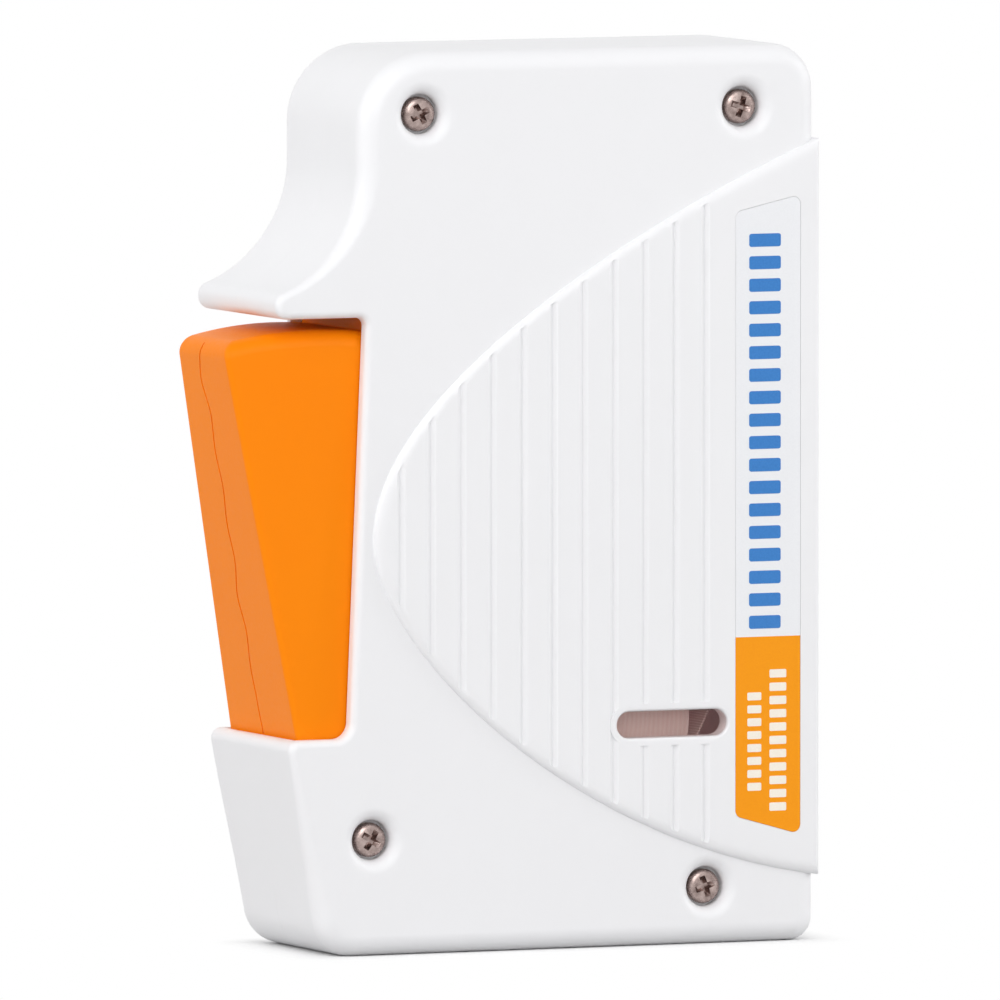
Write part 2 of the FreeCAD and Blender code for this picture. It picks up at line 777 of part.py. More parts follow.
def make_bell_crank():
    """Crank on the lever pin: toothed sector upwards, shutter arm to the right, lug on the lever."""
    pitch_deg = 360.0 / sector_teeth
    first = -math.ceil(sector_spare_deg / pitch_deg)
    last = math.ceil((lever_travel_deg + sector_spare_deg) / pitch_deg)
    teeth = []
    for k in range(first, last + 1):
        teeth += tooth_points(sector_teeth, pivot, mesh_deg + k * pitch_deg)
    root = sector_radius - root_depth_in_modules * gear_module
    inner = root - sector_rim
    start_deg = mesh_deg + (first - 0.5) * pitch_deg
    end_deg = mesh_deg + (last + 0.5) * pitch_deg
    middle_deg = (start_deg + end_deg) / 2
    inner_arc = Part.Arc(around_pivot(inner, end_deg), around_pivot(inner, middle_deg),
                         around_pivot(inner, start_deg))
    rim_points = [around_pivot(root, start_deg)] + teeth + [around_pivot(root, end_deg)]
    rim_points = [around_pivot(inner, start_deg)] + rim_points + [around_pivot(inner, end_deg)]
    rim = Part.Face(Part.Wire([Part.makePolygon(rim_points), inner_arc.toShape()]))
    out = around_pivot(1, middle_deg) - pivot
    side = Vector(-out.z, 0, out.x) * (spoke_width / 2)
    spoke_end = around_pivot(inner + sector_rim / 2, middle_deg)
    spoke = polygon([pivot - side, spoke_end - side, spoke_end + side, pivot + side])
    along = around_pivot(1, arm_rest_deg) - pivot
    up = Vector(-along.z, 0, along.x) * (arm_height / 2)
    arm = polygon([pivot - up, arm_tip - up, arm_tip + up, pivot + up])
    lug_foot_z = lever_pivot_z + pivot_barrel_diameter / 2
    lug_top_z = lug_foot_z + lug_height
    lug = polygon([
        (lever_outer_x(lug_foot_z, lever_wall), lug_foot_z),
        (lever_outer_x(lug_top_z, lever_wall), lug_top_z),
        (lever_outer_x(lug_top_z, lever_wall) + lug_width, lug_top_z),
        (pivot_x + pivot_barrel_diameter / 2, lever_pivot_z),
    ])
    plates = [prism(face, crank_front_y, crank_rear_y) for face in (rim, spoke, arm)]
    plates.append(prism(lug, crank_front_y, crank_rear_y).cut(flank_taper(1, lever_wall)))
    hub = cylinder(pivot, pivot_barrel_diameter, crank_front_y, crank_rear_y)
    tip_end = cylinder(arm_tip, arm_height, crank_front_y, crank_rear_y)
    peg_y = shutter_tail_front_y - side_gap
    peg = cylinder(arm_tip, arm_peg_diameter, peg_y, crank_front_y)
    crank = fuse(plates + [hub, tip_end, peg])
    bore = pivot_pin_diameter + 2 * running_clearance
    return crank.cut(cylinder(pivot, bore, crank_front_y, crank_rear_y))


def make_return_spring():
    """Compression spring that stands on the case floor and lifts the crank's arm."""
    place = around_pivot(spring_along_arm, arm_rest_deg)
    under_arm = place.z - arm_height / 2 / math.cos(math.radians(arm_rest_deg)) - side_gap
    height = under_arm - wall - spring_wire
    radius = (spring_diameter - spring_wire) / 2
    path = Part.makeHelix(height / spring_turns, height, radius)
    profile = Part.Wire(Part.makeCircle(spring_wire / 2, Vector(radius, 0, 0), Vector(0, 1, 0)))
    coil = Part.Wire(path).makePipeShell([profile], True, True)
    coil.translate(Vector(place.x, (crank_front_y + crank_rear_y) / 2, wall + spring_wire / 2))
    return coil


# Reels
def make_drive_pinion():
    """Pinion in mesh with the crank's sector."""
    points = []
    for k in range(pinion_teeth):
        points += tooth_points(pinion_teeth, takeup, mesh_deg + 180 + (k + 0.5) * 360.0 / pinion_teeth)
    gear = prism(polygon(points), crank_front_y + side_gap, crank_rear_y - side_gap)
    return gear.cut(cylinder(takeup, clutch_diameter, crank_front_y, crank_rear_y))


def make_clutch_ring():
    """One-way clutch ring between the pinion and the take-up spool's sleeve."""
    bore = sleeve_diameter + 2 * running_clearance
    return ring(takeup, clutch_diameter, bore, crank_front_y + side_gap, crank_rear_y - side_gap)


def pierced_flange(centre, radius, hub_radius, start_y, end_y):
    """Spool flange with a ring of round holes."""
    flange = cylinder(centre, 2 * radius, start_y, end_y)
    hole_radius = (radius + hub_radius) / 2
    for i in range(flange_hole_count):
        angle = 2 * math.pi * (i + 0.5) / flange_hole_count
        place = centre + Vector(hole_radius * math.cos(angle), 0, hole_radius * math.sin(angle))
        flange = flange.cut(cylinder(place, flange_hole_diameter, start_y, end_y))
    return flange


def make_takeup_spool():
    """Take-up spool with two flanges and a sleeve that carries the clutch."""
    flange_front = tape_front_y - takeup_front_flange
    spool = fuse([
        cylinder(takeup, 2 * takeup_hub_radius, flange_front, flange_rear_y),
        pierced_flange(takeup, takeup_flange_radius, takeup_tape_radius, flange_front, tape_front_y),
        pierced_flange(takeup, takeup_flange_radius, takeup_tape_radius, tape_rear_y, flange_rear_y),
        cylinder(takeup, sleeve_diameter, flange_rear_y, crank_rear_y),
    ])
    bore = reel_post_diameter + 2 * running_clearance
    return spool.cut(cylinder(takeup, bore, flange_front, crank_rear_y))


def make_supply_spool():
    """Supply spool: hub and rear flange, open in front so that the tape can be seen."""
    spool = fuse([
        cylinder(supply, 2 * supply_hub_radius, tape_front_y, flange_rear_y),
        pierced_flange(supply, supply_flange_radius, supply_hub_radius, tape_rear_y, flange_rear_y),
    ])
    bore = reel_post_diameter + 2 * running_clearance
    return spool.cut(cylinder(supply, bore, tape_front_y, flange_rear_y))


def make_takeup_tape():
    """Used tape on the take-up spool."""
    return ring(takeup, 2 * takeup_tape_radius, 2 * takeup_hub_radius, tape_front_y, tape_rear_y)


def make_supply_tape():
    """Fresh tape on the supply spool."""
    return ring(supply, 2 * supply_tape_radius, 2 * supply_hub_radius, tape_front_y, tape_rear_y)


def make_supply_brake():
    """Felt washer that drags on the supply spool."""
    bore = reel_post_diameter + 2 * running_clearance
    return ring(supply, brake_diameter, bore, brake_front_y, brake_front_y + brake_thickness)


def tangent_points(first, first_radius, second, second_radius):
    """Ends of the line that passes both rounds on its left-hand side."""
    span = second - first
    heading = math.atan2(span.z, span.x) + math.asin((first_radius - second_radius) / span.Length)
    right_hand = Vector(math.sin(heading), 0, -math.cos(heading))
    return first + right_hand * first_radius, second + right_hand * second_radius, heading


def tape_side(offset):
    """Edges of one side of the tape's run, from the supply spool to the take-up spool."""
    low_pin, high_pin = [Vector(guide_pin_x, 0, height) for height in guide_pin_heights]
    pin_radius = guide_pin_diameter / 2 + offset
    start, low_in, low_heading = tangent_points(
        supply, supply_tape_radius + moving_gap + offset, low_pin, pin_radius)
    high_out, end, high_heading = tangent_points(
        high_pin, pin_radius, takeup, takeup_tape_radius + moving_gap + offset)

    def on_pin(pin, heading):
        return pin + Vector(math.sin(heading), 0, -math.cos(heading)) * pin_radius

    upwards = math.pi / 2
    low_out = on_pin(low_pin, upwards)
    high_in = on_pin(high_pin, upwards)
    edges = [
        Part.LineSegment(start, low_in).toShape(),
        Part.Arc(low_in, on_pin(low_pin, (low_heading + upwards) / 2), low_out).toShape(),
        Part.LineSegment(low_out, high_in).toShape(),
        Part.Arc(high_in, on_pin(high_pin, (high_heading + upwards) / 2), high_out).toShape(),
        Part.LineSegment(high_out, end).toShape(),
    ]
    return edges, start, end


def make_tape_run():
    """Free run of tape: off the supply spool, round both pins past the window, to the take-up."""
    inner, inner_start, inner_end = tape_side(0)
    outer, outer_start, outer_end = tape_side(tape_thickness)
    ends = [
        Part.LineSegment(inner_end, outer_end).toShape(),
        Part.LineSegment(outer_start, inner_start).toShape(),
    ]
    face = Part.Face(Part.Wire(inner + ends[:1] + outer[::-1] + ends[1:]))
    return prism(face, tape_front_y, tape_rear_y)


def make_guide_pins():
    """Two steel pins that steer the tape past the window."""
    tip_y = tape_front_y - side_gap
    return Part.makeCompound([
        cylinder(Vector(guide_pin_x, 0, height), guide_pin_diameter, tip_y, inner_rear_y)
        for height in guide_pin_heights
    ])


# Cleaning head
def make_cleaning_pad():
    """Soft pad that backs the tape behind the window."""
    half = pad_height / 2
    return box((pad_back_x, tape_front_y, window_z - half), (tape_inner_x, tape_rear_y, window_z + half))


def make_pad_holder():
    """Channel held between the two shells that carries the pad."""
    half = pad_height / 2 + pad_holder_wall / 2
    block = box((holder_back_x, inner_front_y, window_z - half), (pad_back_x, inner_rear_y, window_z + half))
    pocket_half = half - pad_holder_wall
    pocket_front = inner_front_y + pad_holder_wall
    pocket_rear = inner_rear_y - pad_holder_wall
    return block.cut(box(
        (holder_back_x, pocket_front, window_z - pocket_half),
        (pad_back_x - pad_holder_wall, pocket_rear, window_z + pocket_half),
    ))


def make_slot_guide():
    """Insert held between the shells, with two slots for connector tips."""
    half = slot_guide_height / 2
    plate = box((slot_guide_inner_x, inner_front_y, window_z - half),
                (slot_guide_outer_x, inner_rear_y, window_z + half))
    slot_half = connector_slot_height / 2
    for side in (-1, 1):
        middle = tape_middle_y + side * (connector_slot_width + connector_slot_bridge) / 2
        plate = plate.cut(box(
            (slot_guide_inner_x, middle - connector_slot_width / 2, window_z - slot_half),
            (slot_guide_outer_x, middle + connector_slot_width / 2, window_z + slot_half),
        ))
    return plate


def make_shutter():
    """Sliding shutter: plate over the window, tail, and slotted lug that the crank's peg moves."""
    half = window_height / 2 + shutter_overlap
    half_y = inner_rear_y - 2 * side_gap
    plate = box((shutter_inner_x, -half_y, window_z - half), (shutter_outer_x, half_y, window_z + half))
    slot_height = arm_peg_diameter + 2 * moving_gap
    slot_left = min(arm_tip.x, arm_tip_pressed.x) - slot_height / 2 - moving_gap
    slot_right = max(arm_tip.x, arm_tip_pressed.x) + slot_height / 2 + moving_gap
    lug_low = arm_tip.z - slot_height / 2 - shutter_lug_margin
    lug_high = arm_tip.z + slot_height / 2 + shutter_lug_margin
    tail = box((shutter_inner_x, shutter_tail_front_y, lug_low),
               (shutter_outer_x, shutter_tail_rear_y, window_z - half))
    lug_rear = shutter_tail_front_y + shutter_lug_thickness
    lug = box((slot_left - shutter_lug_margin, shutter_tail_front_y, lug_low),
              (shutter_inner_x, lug_rear, lug_high))
    shutter = fuse([plate, tail, lug])
    return shutter.cut(box((slot_left, shutter_tail_front_y, arm_tip.z - slot_height / 2),
                           (slot_right, lug_rear, arm_tip.z + slot_height / 2)))


def main():
    """Builds every piece and writes one STEP file for each."""
    pieces = {
        "front_cover": make_front_cover,
        "rear_cover": make_rear_cover,
        "case_screws": make_case_screws,
        "label": make_label,
        "sight_pane": make_sight_pane,
        "lever": make_lever,
        "lever_pin": make_lever_pin,
        "bell_crank": make_bell_crank,
        "return_spring": make_return_spring,
        "drive_pinion": make_drive_pinion,
        "clutch_ring": make_clutch_ring,
        "takeup_spool": make_takeup_spool,
        "takeup_tape": make_takeup_tape,
        "supply_spool": make_supply_spool,
        "supply_tape": make_supply_tape,
        "supply_brake": make_supply_brake,
        "tape_run": make_tape_run,
        "guide_pins": make_guide_pins,
        "cleaning_pad": make_cleaning_pad,
        "pad_holder": make_pad_holder,
        "slot_guide": make_slot_guide,
        "shutter": make_shutter,
    }
    os.makedirs("parts", exist_ok=True)
    for name, make in pieces.items():
        shape = make()
        shape.exportStep("parts/" + name + ".step")
        volume = round(shape.Volume, 1)
        print(name, "solids", len(shape.Solids), "valid", shape.isValid(), "volume", volume)
    print("lever pivot", round(pivot.x, 3), round(pivot.z, 3))
    print("take-up axis", round(takeup.x, 3), round(takeup.z, 3))
    print("supply axis", round(supply.x, 3), round(supply.z, 3))
    print("shutter travel", round(shutter_travel, 3))


main()
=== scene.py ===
"""Looks of a fibre optic cleaning cassette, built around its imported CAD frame.

A white moulded case with a raised ribbed panel, an orange press lever in a notch on the left,
a printed label strip, four cross-recess screws and tape reels behind a sight slot.
Lengths in the classes are millimetres. Meshes are metres, in the frame of the CAD model.
"""
from __future__ import annotations

import logging
import math
from dataclasses import dataclass, field
from enum import Enum
from typing import Any, Sequence

import bmesh
import bpy
from mathutils import Matrix, Vector
from mathutils.bvhtree import BVHTree

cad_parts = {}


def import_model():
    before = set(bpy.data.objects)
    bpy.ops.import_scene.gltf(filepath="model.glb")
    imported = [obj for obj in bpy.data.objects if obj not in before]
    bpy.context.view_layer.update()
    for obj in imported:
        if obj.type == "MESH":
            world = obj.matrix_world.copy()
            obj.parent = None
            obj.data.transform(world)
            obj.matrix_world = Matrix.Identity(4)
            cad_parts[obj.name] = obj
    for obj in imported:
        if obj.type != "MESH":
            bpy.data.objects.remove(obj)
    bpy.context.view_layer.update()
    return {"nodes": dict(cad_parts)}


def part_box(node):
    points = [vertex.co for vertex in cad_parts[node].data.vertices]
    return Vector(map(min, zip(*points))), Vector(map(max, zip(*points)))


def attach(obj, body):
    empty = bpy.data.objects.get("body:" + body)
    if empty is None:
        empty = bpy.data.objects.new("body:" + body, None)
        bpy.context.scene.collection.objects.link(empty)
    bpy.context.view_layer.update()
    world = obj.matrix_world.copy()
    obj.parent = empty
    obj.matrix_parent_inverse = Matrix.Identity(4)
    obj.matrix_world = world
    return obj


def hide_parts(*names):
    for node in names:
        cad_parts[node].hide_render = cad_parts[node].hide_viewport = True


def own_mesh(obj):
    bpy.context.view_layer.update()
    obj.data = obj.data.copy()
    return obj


LOG = logging.getLogger("cassette")
MM = 0.001
MERGE_DISTANCE = 0.001 * MM
WHITE = "#FFFFFF"
# Radians in a unit of the wave texture
WAVE_RADIANS = 20.0
# Levels between which a noise texture mostly stays
NOISE_LOW = 0.3
NOISE_HIGH = 0.7
# Weighting of faces in smooth shading: 50 is neutral, and more favours the large faces
LARGE_FACE_WEIGHT = 90


class Body(Enum):
    """Bodies that the pieces made here ride on."""

    HOUSING = "housing"
    LEVER = "lever"
    TAKEUP = "takeup"
    SUPPLY = "supply"


class Slot(Enum):
    """Names of the record's material slots for the pieces made here."""

    CASE = "case_white"
    LEVER = "lever_orange"
    LABEL = "label_film"
    SCREW = "screw_steel"
    SPRING = "spring_steel"
    FRESH_TAPE = "fresh_tape"
    USED_TAPE = "used_tape"


def linear(hex_colour: str) -> tuple[float, float, float, float]:
    """Turn an sRGB hex colour into linear light by the standard curve.

    Args:
        hex_colour: Six hex digits after a hash sign.

    Returns:
        Red, green, blue and alpha for a colour socket.
    """
    levels = [int(hex_colour[i:i + 2], 16) / 255 for i in (1, 3, 5)]
    red, green, blue = (v / 12.92 if v <= 0.04045 else ((v + 0.055) / 1.055) ** 2.4 for v in levels)
    return red, green, blue, 1.0


def add_node(tree: bpy.types.NodeTree, kind: str, inputs: dict[Any, Any] | None = None,
             **settings: Any) -> bpy.types.Node:
    """Add a node, set its options, and set or link its inputs.

    Args:
        tree: Tree that the node goes into.
        kind: Blender's name for the node's type.
        inputs: Input names or numbers, each with a value or with a socket to link from.
        **settings: Options of the node itself.

    Returns:
        The new node.
    """
    node = tree.nodes.new(kind)
    for name, value in settings.items():
        setattr(node, name, value)
    for name, value in (inputs or {}).items():
        if isinstance(value, bpy.types.NodeSocket):
            tree.links.new(value, node.inputs[name])
        else:
            node.inputs[name].default_value = value
    return node


def new_material(name: str) -> tuple[bpy.types.Material, bpy.types.NodeTree, bpy.types.NodeSocket,
                                     bpy.types.NodeSocket]:
    """Start a node material.

    Args:
        name: Name of the material.

    Returns:
        The material, its tree, the socket that takes the surface shader, and Object coordinates.
    """
    material = bpy.data.materials.new(name)
    material.use_nodes = True
    tree = material.node_tree
    tree.nodes.clear()
    output = add_node(tree, "ShaderNodeOutputMaterial")
    place = add_node(tree, "ShaderNodeTexCoord").outputs["Object"]
    return material, tree, output.inputs["Surface"], place


def per_metre(size_mm: float) -> float:
    """Texture scale that gives features of a size in millimetres on Object coordinates."""
    return 1.0 / (size_mm * MM)


def wave_scale(pitch_mm: float) -> float:
    """Scale of a wave texture for a pitch in millimetres."""
    return 2.0 * math.pi / (WAVE_RADIANS * pitch_mm * MM)


@dataclass(frozen=True)
class MouldedPlastic:
    """Plastic from a spark-eroded mould: a satin sheen, a very fine grain and a slightly uneven tone."""

    name: str
    colour: str
    shade: str
    roughness: float
    specular: float = 0.5
    ior: float = 1.53
    grain_mm: float = 0.45
    grain_height_mm: float = 0.004
    mottle_mm: float = 26.0
    sheen_spread: float = 0.05

    def build(self) -> bpy.types.Material:
        """Make the material.

        Returns:
            The finished material.
        """
        material, tree, surface, place = new_material(self.name)
        mottle = add_node(tree, "ShaderNodeTexNoise",
                          {"Vector": place, "Scale": per_metre(self.mottle_mm), "Detail": 3.0})
        tone = add_node(tree, "ShaderNodeMix",
                        {"Factor": mottle.outputs["Fac"], "A": linear(self.colour), "B": linear(self.shade)},
                        data_type="RGBA")
        grain = add_node(tree, "ShaderNodeTexNoise",
                         {"Vector": place, "Scale": per_metre(self.grain_mm), "Detail": 2.0})
        sheen = add_node(tree, "ShaderNodeMapRange",
                         {"Value": grain.outputs["Fac"], "From Min": NOISE_LOW, "From Max": NOISE_HIGH,
                          "To Min": self.roughness - self.sheen_spread,
                          "To Max": self.roughness + self.sheen_spread})
        relief = add_node(tree, "ShaderNodeBump",
                          {"Height": grain.outputs["Fac"], "Distance": self.grain_height_mm * MM})
        shader = add_node(tree, "ShaderNodeBsdfPrincipled",
                          {"Base Color": tone.outputs["Result"], "Roughness": sheen.outputs["Result"],
                           "Normal": relief.outputs["Normal"], "IOR": self.ior,
                           "Specular IOR Level": self.specular})
        tree.links.new(shader.outputs["BSDF"], surface)
        return material


@dataclass(frozen=True)
class WorkedSteel:
    """Bare or plated steel: fine scratches in the working direction, an uneven shine, and cloudy patches of a
    darker colour, which on the screws are painted reflection of dark surroundings.
    """

    name: str
    colour: str
    tarnish_and_dark_reflection: str
    roughness: float
    scratch_mm: tuple[float, float, float]
    cloud_mm: float = 1.6
    scratch_depth_mm: float = 0.004
    brighter: float = 0.08
    duller: float = 0.1

    def build(self) -> bpy.types.Material:
        """Make the material.

        Returns:
            The finished material.
        """
        material, tree, surface, place = new_material(self.name)
        stretched = add_node(tree, "ShaderNodeMapping",
                             {"Vector": place, "Scale": [per_metre(size) for size in self.scratch_mm]})
        scratch = add_node(tree, "ShaderNodeTexNoise",
                           {"Vector": stretched.outputs["Vector"], "Scale": 1.0, "Detail": 3.0})
        cloud = add_node(tree, "ShaderNodeTexNoise",
                         {"Vector": place, "Scale": per_metre(self.cloud_mm), "Detail": 4.0})
        # Cloudy patches of the darker colour: on the screw heads these are painted reflection
        tone = add_node(tree, "ShaderNodeMix",
                        {"Factor": cloud.outputs["Fac"], "A": linear(self.colour), "B": linear(self.tarnish_and_dark_reflection)},
                        data_type="RGBA")
        shine = add_node(tree, "ShaderNodeMapRange",
                         {"Value": scratch.outputs["Fac"], "From Min": NOISE_LOW, "From Max": NOISE_HIGH,
                          "To Min": self.roughness - self.brighter,
                          "To Max": self.roughness + self.duller})
        relief = add_node(tree, "ShaderNodeBump",
                          {"Height": scratch.outputs["Fac"], "Distance": self.scratch_depth_mm * MM})
        shader = add_node(tree, "ShaderNodeBsdfPrincipled",
                          {"Base Color": tone.outputs["Result"], "Roughness": shine.outputs["Result"],
                           "Normal": relief.outputs["Normal"], "Metallic": 1.0})
        tree.links.new(shader.outputs["BSDF"], surface)
        return material


@dataclass(frozen=True)
class PrintedFilm:
    """Satin polyester film with a printed ground: an even colour, a soft gloss and a faint dot screen."""

    name: str
    colour: str
    screen: str
    roughness: float = 0.34
    dot_mm: float = 0.3
    dot_dulling: float = 0.06
    specular: float = 0.2
    ior: float = 1.6

    def build(self) -> bpy.types.Material:
        """Make the material.

        Returns:
            The finished material.
        """
        material, tree, surface, place = new_material(self.name)
        dots = add_node(tree, "ShaderNodeTexVoronoi", {"Vector": place, "Scale": per_metre(self.dot_mm)})
        tone = add_node(tree, "ShaderNodeMix",
                        {"Factor": dots.outputs["Distance"], "A": linear(self.colour),
                         "B": linear(self.screen)}, data_type="RGBA")
        sheen = add_node(tree, "ShaderNodeMapRange",
                         {"Value": dots.outputs["Distance"], "To Min": self.roughness,
                          "To Max": self.roughness + self.dot_dulling})
        shader = add_node(tree, "ShaderNodeBsdfPrincipled",
                          {"Base Color": tone.outputs["Result"], "Roughness": sheen.outputs["Result"],
                           "IOR": self.ior, "Specular IOR Level": self.specular})
        tree.links.new(shader.outputs["BSDF"], surface)
        return material


@dataclass(frozen=True)
class WoundMicrofibre:
    """Edges of wound microfibre tape: fine rings, one for a few turns, in slightly different tones."""

    name: str
    light: str
    dark: str
    centre_mm: tuple[float, float, float]
    ring_mm: float = 0.7
    ring_wander: float = 1.2
    fibre_mm: float = 0.25
    relief_mm: float = 0.05
    roughness: float = 0.85
    sheen: float = 0.25

    def build(self) -> bpy.types.Material:
        """Make the material.

        Returns:
            The finished material.
        """
        material, tree, surface, place = new_material(self.name)
        centred = add_node(tree, "ShaderNodeMapping",
                           {"Vector": place, "Location": [-value * MM for value in self.centre_mm]})
        rings = add_node(tree, "ShaderNodeTexWave",
                         {"Vector": centred.outputs["Vector"], "Scale": wave_scale(self.ring_mm),
                          "Distortion": self.ring_wander, "Detail": 2.0, "Detail Scale": 0.6},
                         wave_type="RINGS", rings_direction="Y")
        fibre = add_node(tree, "ShaderNodeTexNoise",
                         {"Vector": place, "Scale": per_metre(self.fibre_mm), "Detail": 3.0})
        height = add_node(tree, "ShaderNodeMath", {0: rings.outputs["Fac"], 1: fibre.outputs["Fac"]},
                          operation="MULTIPLY")
        tone = add_node(tree, "ShaderNodeMix",
                        {"Factor": height.outputs["Value"], "A": linear(self.dark),
                         "B": linear(self.light)}, data_type="RGBA")
        relief = add_node(tree, "ShaderNodeBump",
                          {"Height": height.outputs["Value"], "Distance": self.relief_mm * MM})
        shader = add_node(tree, "ShaderNodeBsdfPrincipled",
                          {"Base Color": tone.outputs["Result"], "Normal": relief.outputs["Normal"],
                           "Roughness": self.roughness, "Sheen Weight": self.sheen})
        tree.links.new(shader.outputs["BSDF"], surface)
        return material


@dataclass(frozen=True)
class WovenMicrofibre:
    """Flat microfibre cloth: a tight plain weave. The threads are drawn coarser than real, to show."""

    name: str
    light: str
    dark: str
    thread_mm: float = 0.35
    thread_wander: float = 0.4
    relief_mm: float = 0.06
    roughness: float = 0.88
    sheen: float = 0.3

    def build(self) -> bpy.types.Material:
        """Make the material.

        Returns:
            The finished material.
        """
        material, tree, surface, place = new_material(self.name)
        warp, weft = (add_node(tree, "ShaderNodeTexWave",
                               {"Vector": place, "Scale": wave_scale(self.thread_mm),
                                "Distortion": self.thread_wander},
                               bands_direction=axis) for axis in ("Y", "Z"))
        weave = add_node(tree, "ShaderNodeMath", {0: warp.outputs["Fac"], 1: weft.outputs["Fac"]},
                         operation="MULTIPLY")
        tone = add_node(tree, "ShaderNodeMix",
                        {"Factor": weave.outputs["Value"], "A": linear(self.dark), "B": linear(self.light)},
                        data_type="RGBA")
        relief = add_node(tree, "ShaderNodeBump",
                          {"Height": weave.outputs["Value"], "Distance": self.relief_mm * MM})
        shader = add_node(tree, "ShaderNodeBsdfPrincipled",
                          {"Base Color": tone.outputs["Result"], "Normal": relief.outputs["Normal"],
                           "Roughness": self.roughness, "Sheen Weight": self.sheen})
        tree.links.new(shader.outputs["BSDF"], surface)
        return material


@dataclass(frozen=True)
class SoftFill:
    """Pressed felt or sponge rubber: a dull, pitted or hairy surface with cells of one size."""

    name: str
    light: str
    dark: str
    cell_mm: float
    depth_mm: float
    sheen: float
    hair_share: float = 0.3
    roughness: float = 0.92

    def build(self) -> bpy.types.Material:
        """Make the material.

        Returns:
            The finished material.
        """
        material, tree, surface, place = new_material(self.name)
        cells = add_node(tree, "ShaderNodeTexVoronoi", {"Vector": place, "Scale": per_metre(self.cell_mm)})
        hairs = add_node(tree, "ShaderNodeTexNoise",
                         {"Vector": place, "Scale": per_metre(self.hair_share * self.cell_mm), "Detail": 4.0})
        height = add_node(tree, "ShaderNodeMath", {0: cells.outputs["Distance"], 1: hairs.outputs["Fac"]},
                          operation="ADD")
        tone = add_node(tree, "ShaderNodeMix",
                        {"Factor": hairs.outputs["Fac"], "A": linear(self.dark), "B": linear(self.light)},
                        data_type="RGBA")
        relief = add_node(tree, "ShaderNodeBump",
                          {"Height": height.outputs["Value"], "Distance": self.depth_mm * MM})
        shader = add_node(tree, "ShaderNodeBsdfPrincipled",
                          {"Base Color": tone.outputs["Result"], "Normal": relief.outputs["Normal"],
                           "Roughness": self.roughness, "Sheen Weight": self.sheen})
        tree.links.new(shader.outputs["BSDF"], surface)
        return material


@dataclass(frozen=True)
class SmokedClear:
    """Clear plastic with a coloured haze, whose colour also serves as painted shade: each crossing tints the
    light once, and the face reflects.
    """

    name: str
    tint: str
    haze_and_shade: str
    haze_share: float
    roughness: float = 0.12
    ior: float = 1.59
    streak_mm: float = 6.0
    haze_spread: float = 0.2

    def build(self) -> bpy.types.Material:
        """Make the material.

        Returns:
            The finished material.
        """
        material, tree, surface, place = new_material(self.name)
        streaks = add_node(tree, "ShaderNodeTexNoise",
                           {"Vector": place, "Scale": per_metre(self.streak_mm), "Detail": 2.0})
        share = add_node(tree, "ShaderNodeMapRange",
                         {"Value": streaks.outputs["Fac"],
                          "To Min": (1.0 - self.haze_spread) * self.haze_share,
                          "To Max": (1.0 + self.haze_spread) * self.haze_share})
        leaving = add_node(tree, "ShaderNodeNewGeometry").outputs["Backfacing"]
        clear = add_node(tree, "ShaderNodeBsdfTransparent", {"Color": linear(self.tint)})
        free = add_node(tree, "ShaderNodeBsdfTransparent")
        # Diffuse haze: its red-brown colour is painted shade of the inside seen through the slot
        haze_and_shade = add_node(tree, "ShaderNodeBsdfDiffuse", {"Color": linear(self.haze_and_shade)})
        inside = add_node(tree, "ShaderNodeMixShader",
                          {"Fac": share.outputs["Result"], 1: clear.outputs["BSDF"], 2: haze_and_shade.outputs["BSDF"]})
        gloss = add_node(tree, "ShaderNodeBsdfGlossy", {"Roughness": self.roughness})
        mirror = add_node(tree, "ShaderNodeFresnel", {"IOR": self.ior})
        both = add_node(tree, "ShaderNodeMixShader",
                        {"Fac": mirror.outputs["Fac"], 1: inside.outputs["Shader"], 2: gloss.outputs["BSDF"]})
        once = add_node(tree, "ShaderNodeMixShader",
                        {"Fac": leaving, 1: both.outputs["Shader"], 2: free.outputs["BSDF"]})
        tree.links.new(once.outputs["Shader"], surface)
        return material


# White ABS: satin, a touch cool on the faces, with next to no visible grain
WHITE_ABS = MouldedPlastic("white_abs_moulded", "#F2F2F4", "#EFEFF1", 0.42)
# Orange ABS: strong yellow-orange, with so weak a reflection that the colour stays deep
ORANGE_ABS = MouldedPlastic("orange_abs_moulded", "#FE8C00", "#FD8500", 0.42, specular=0.1)
# Grey ABS: mid grey and satin, on the slot guide and the shutter
GREY_ABS = MouldedPlastic("grey_abs_moulded", "#9C9DA1", "#8F9094", 0.45)
# Black polystyrene: near black with a dull sheen, on the reel spools and the pad holder
BLACK_STYRENE = MouldedPlastic("black_polystyrene_moulded", "#242426", "#1E1E20", 0.55,
                               specular=0.3, ior=1.59)
# Natural acetal: waxy, off-white gear plastic
ACETAL = MouldedPlastic("natural_acetal_moulded", "#EEEBE2", "#E6E2D6", 0.33, ior=1.48)
# Zinc-plated steel: pinkish grey screw heads, with dark blotches painted in as reflection of dark
# surroundings
ZINC_STEEL = WorkedSteel("zinc_plated_steel", "#D8C4BE", "#54403C", 0.28, (0.5, 0.5, 0.2), cloud_mm=0.9)
# Ground steel: pins and the clutch ring, scratched along the axis
GROUND_STEEL = WorkedSteel("ground_steel", "#BFC1C4", "#A9ABB0", 0.25, (0.12, 3.0, 0.12))
# Drawn spring wire: dark and smooth
SPRING_WIRE = WorkedSteel("drawn_spring_steel", "#8D8F94", "#76787D", 0.3, (0.2, 0.2, 0.9))
# Label film and its inks: flat, even colours with a soft gloss
WHITE_FILM = PrintedFilm("white_polyester_film", "#F1F2F5", "#EEEFF2")
ORANGE_FILM = PrintedFilm("orange_printed_film", "#FC9E00", "#F99900")
BLUE_INK = PrintedFilm("blue_screen_ink", "#3F84CC", "#3A7CC4", 0.4)
WHITE_INK = PrintedFilm("white_screen_ink", "#FBF4E8", "#F8EFE0", 0.4)
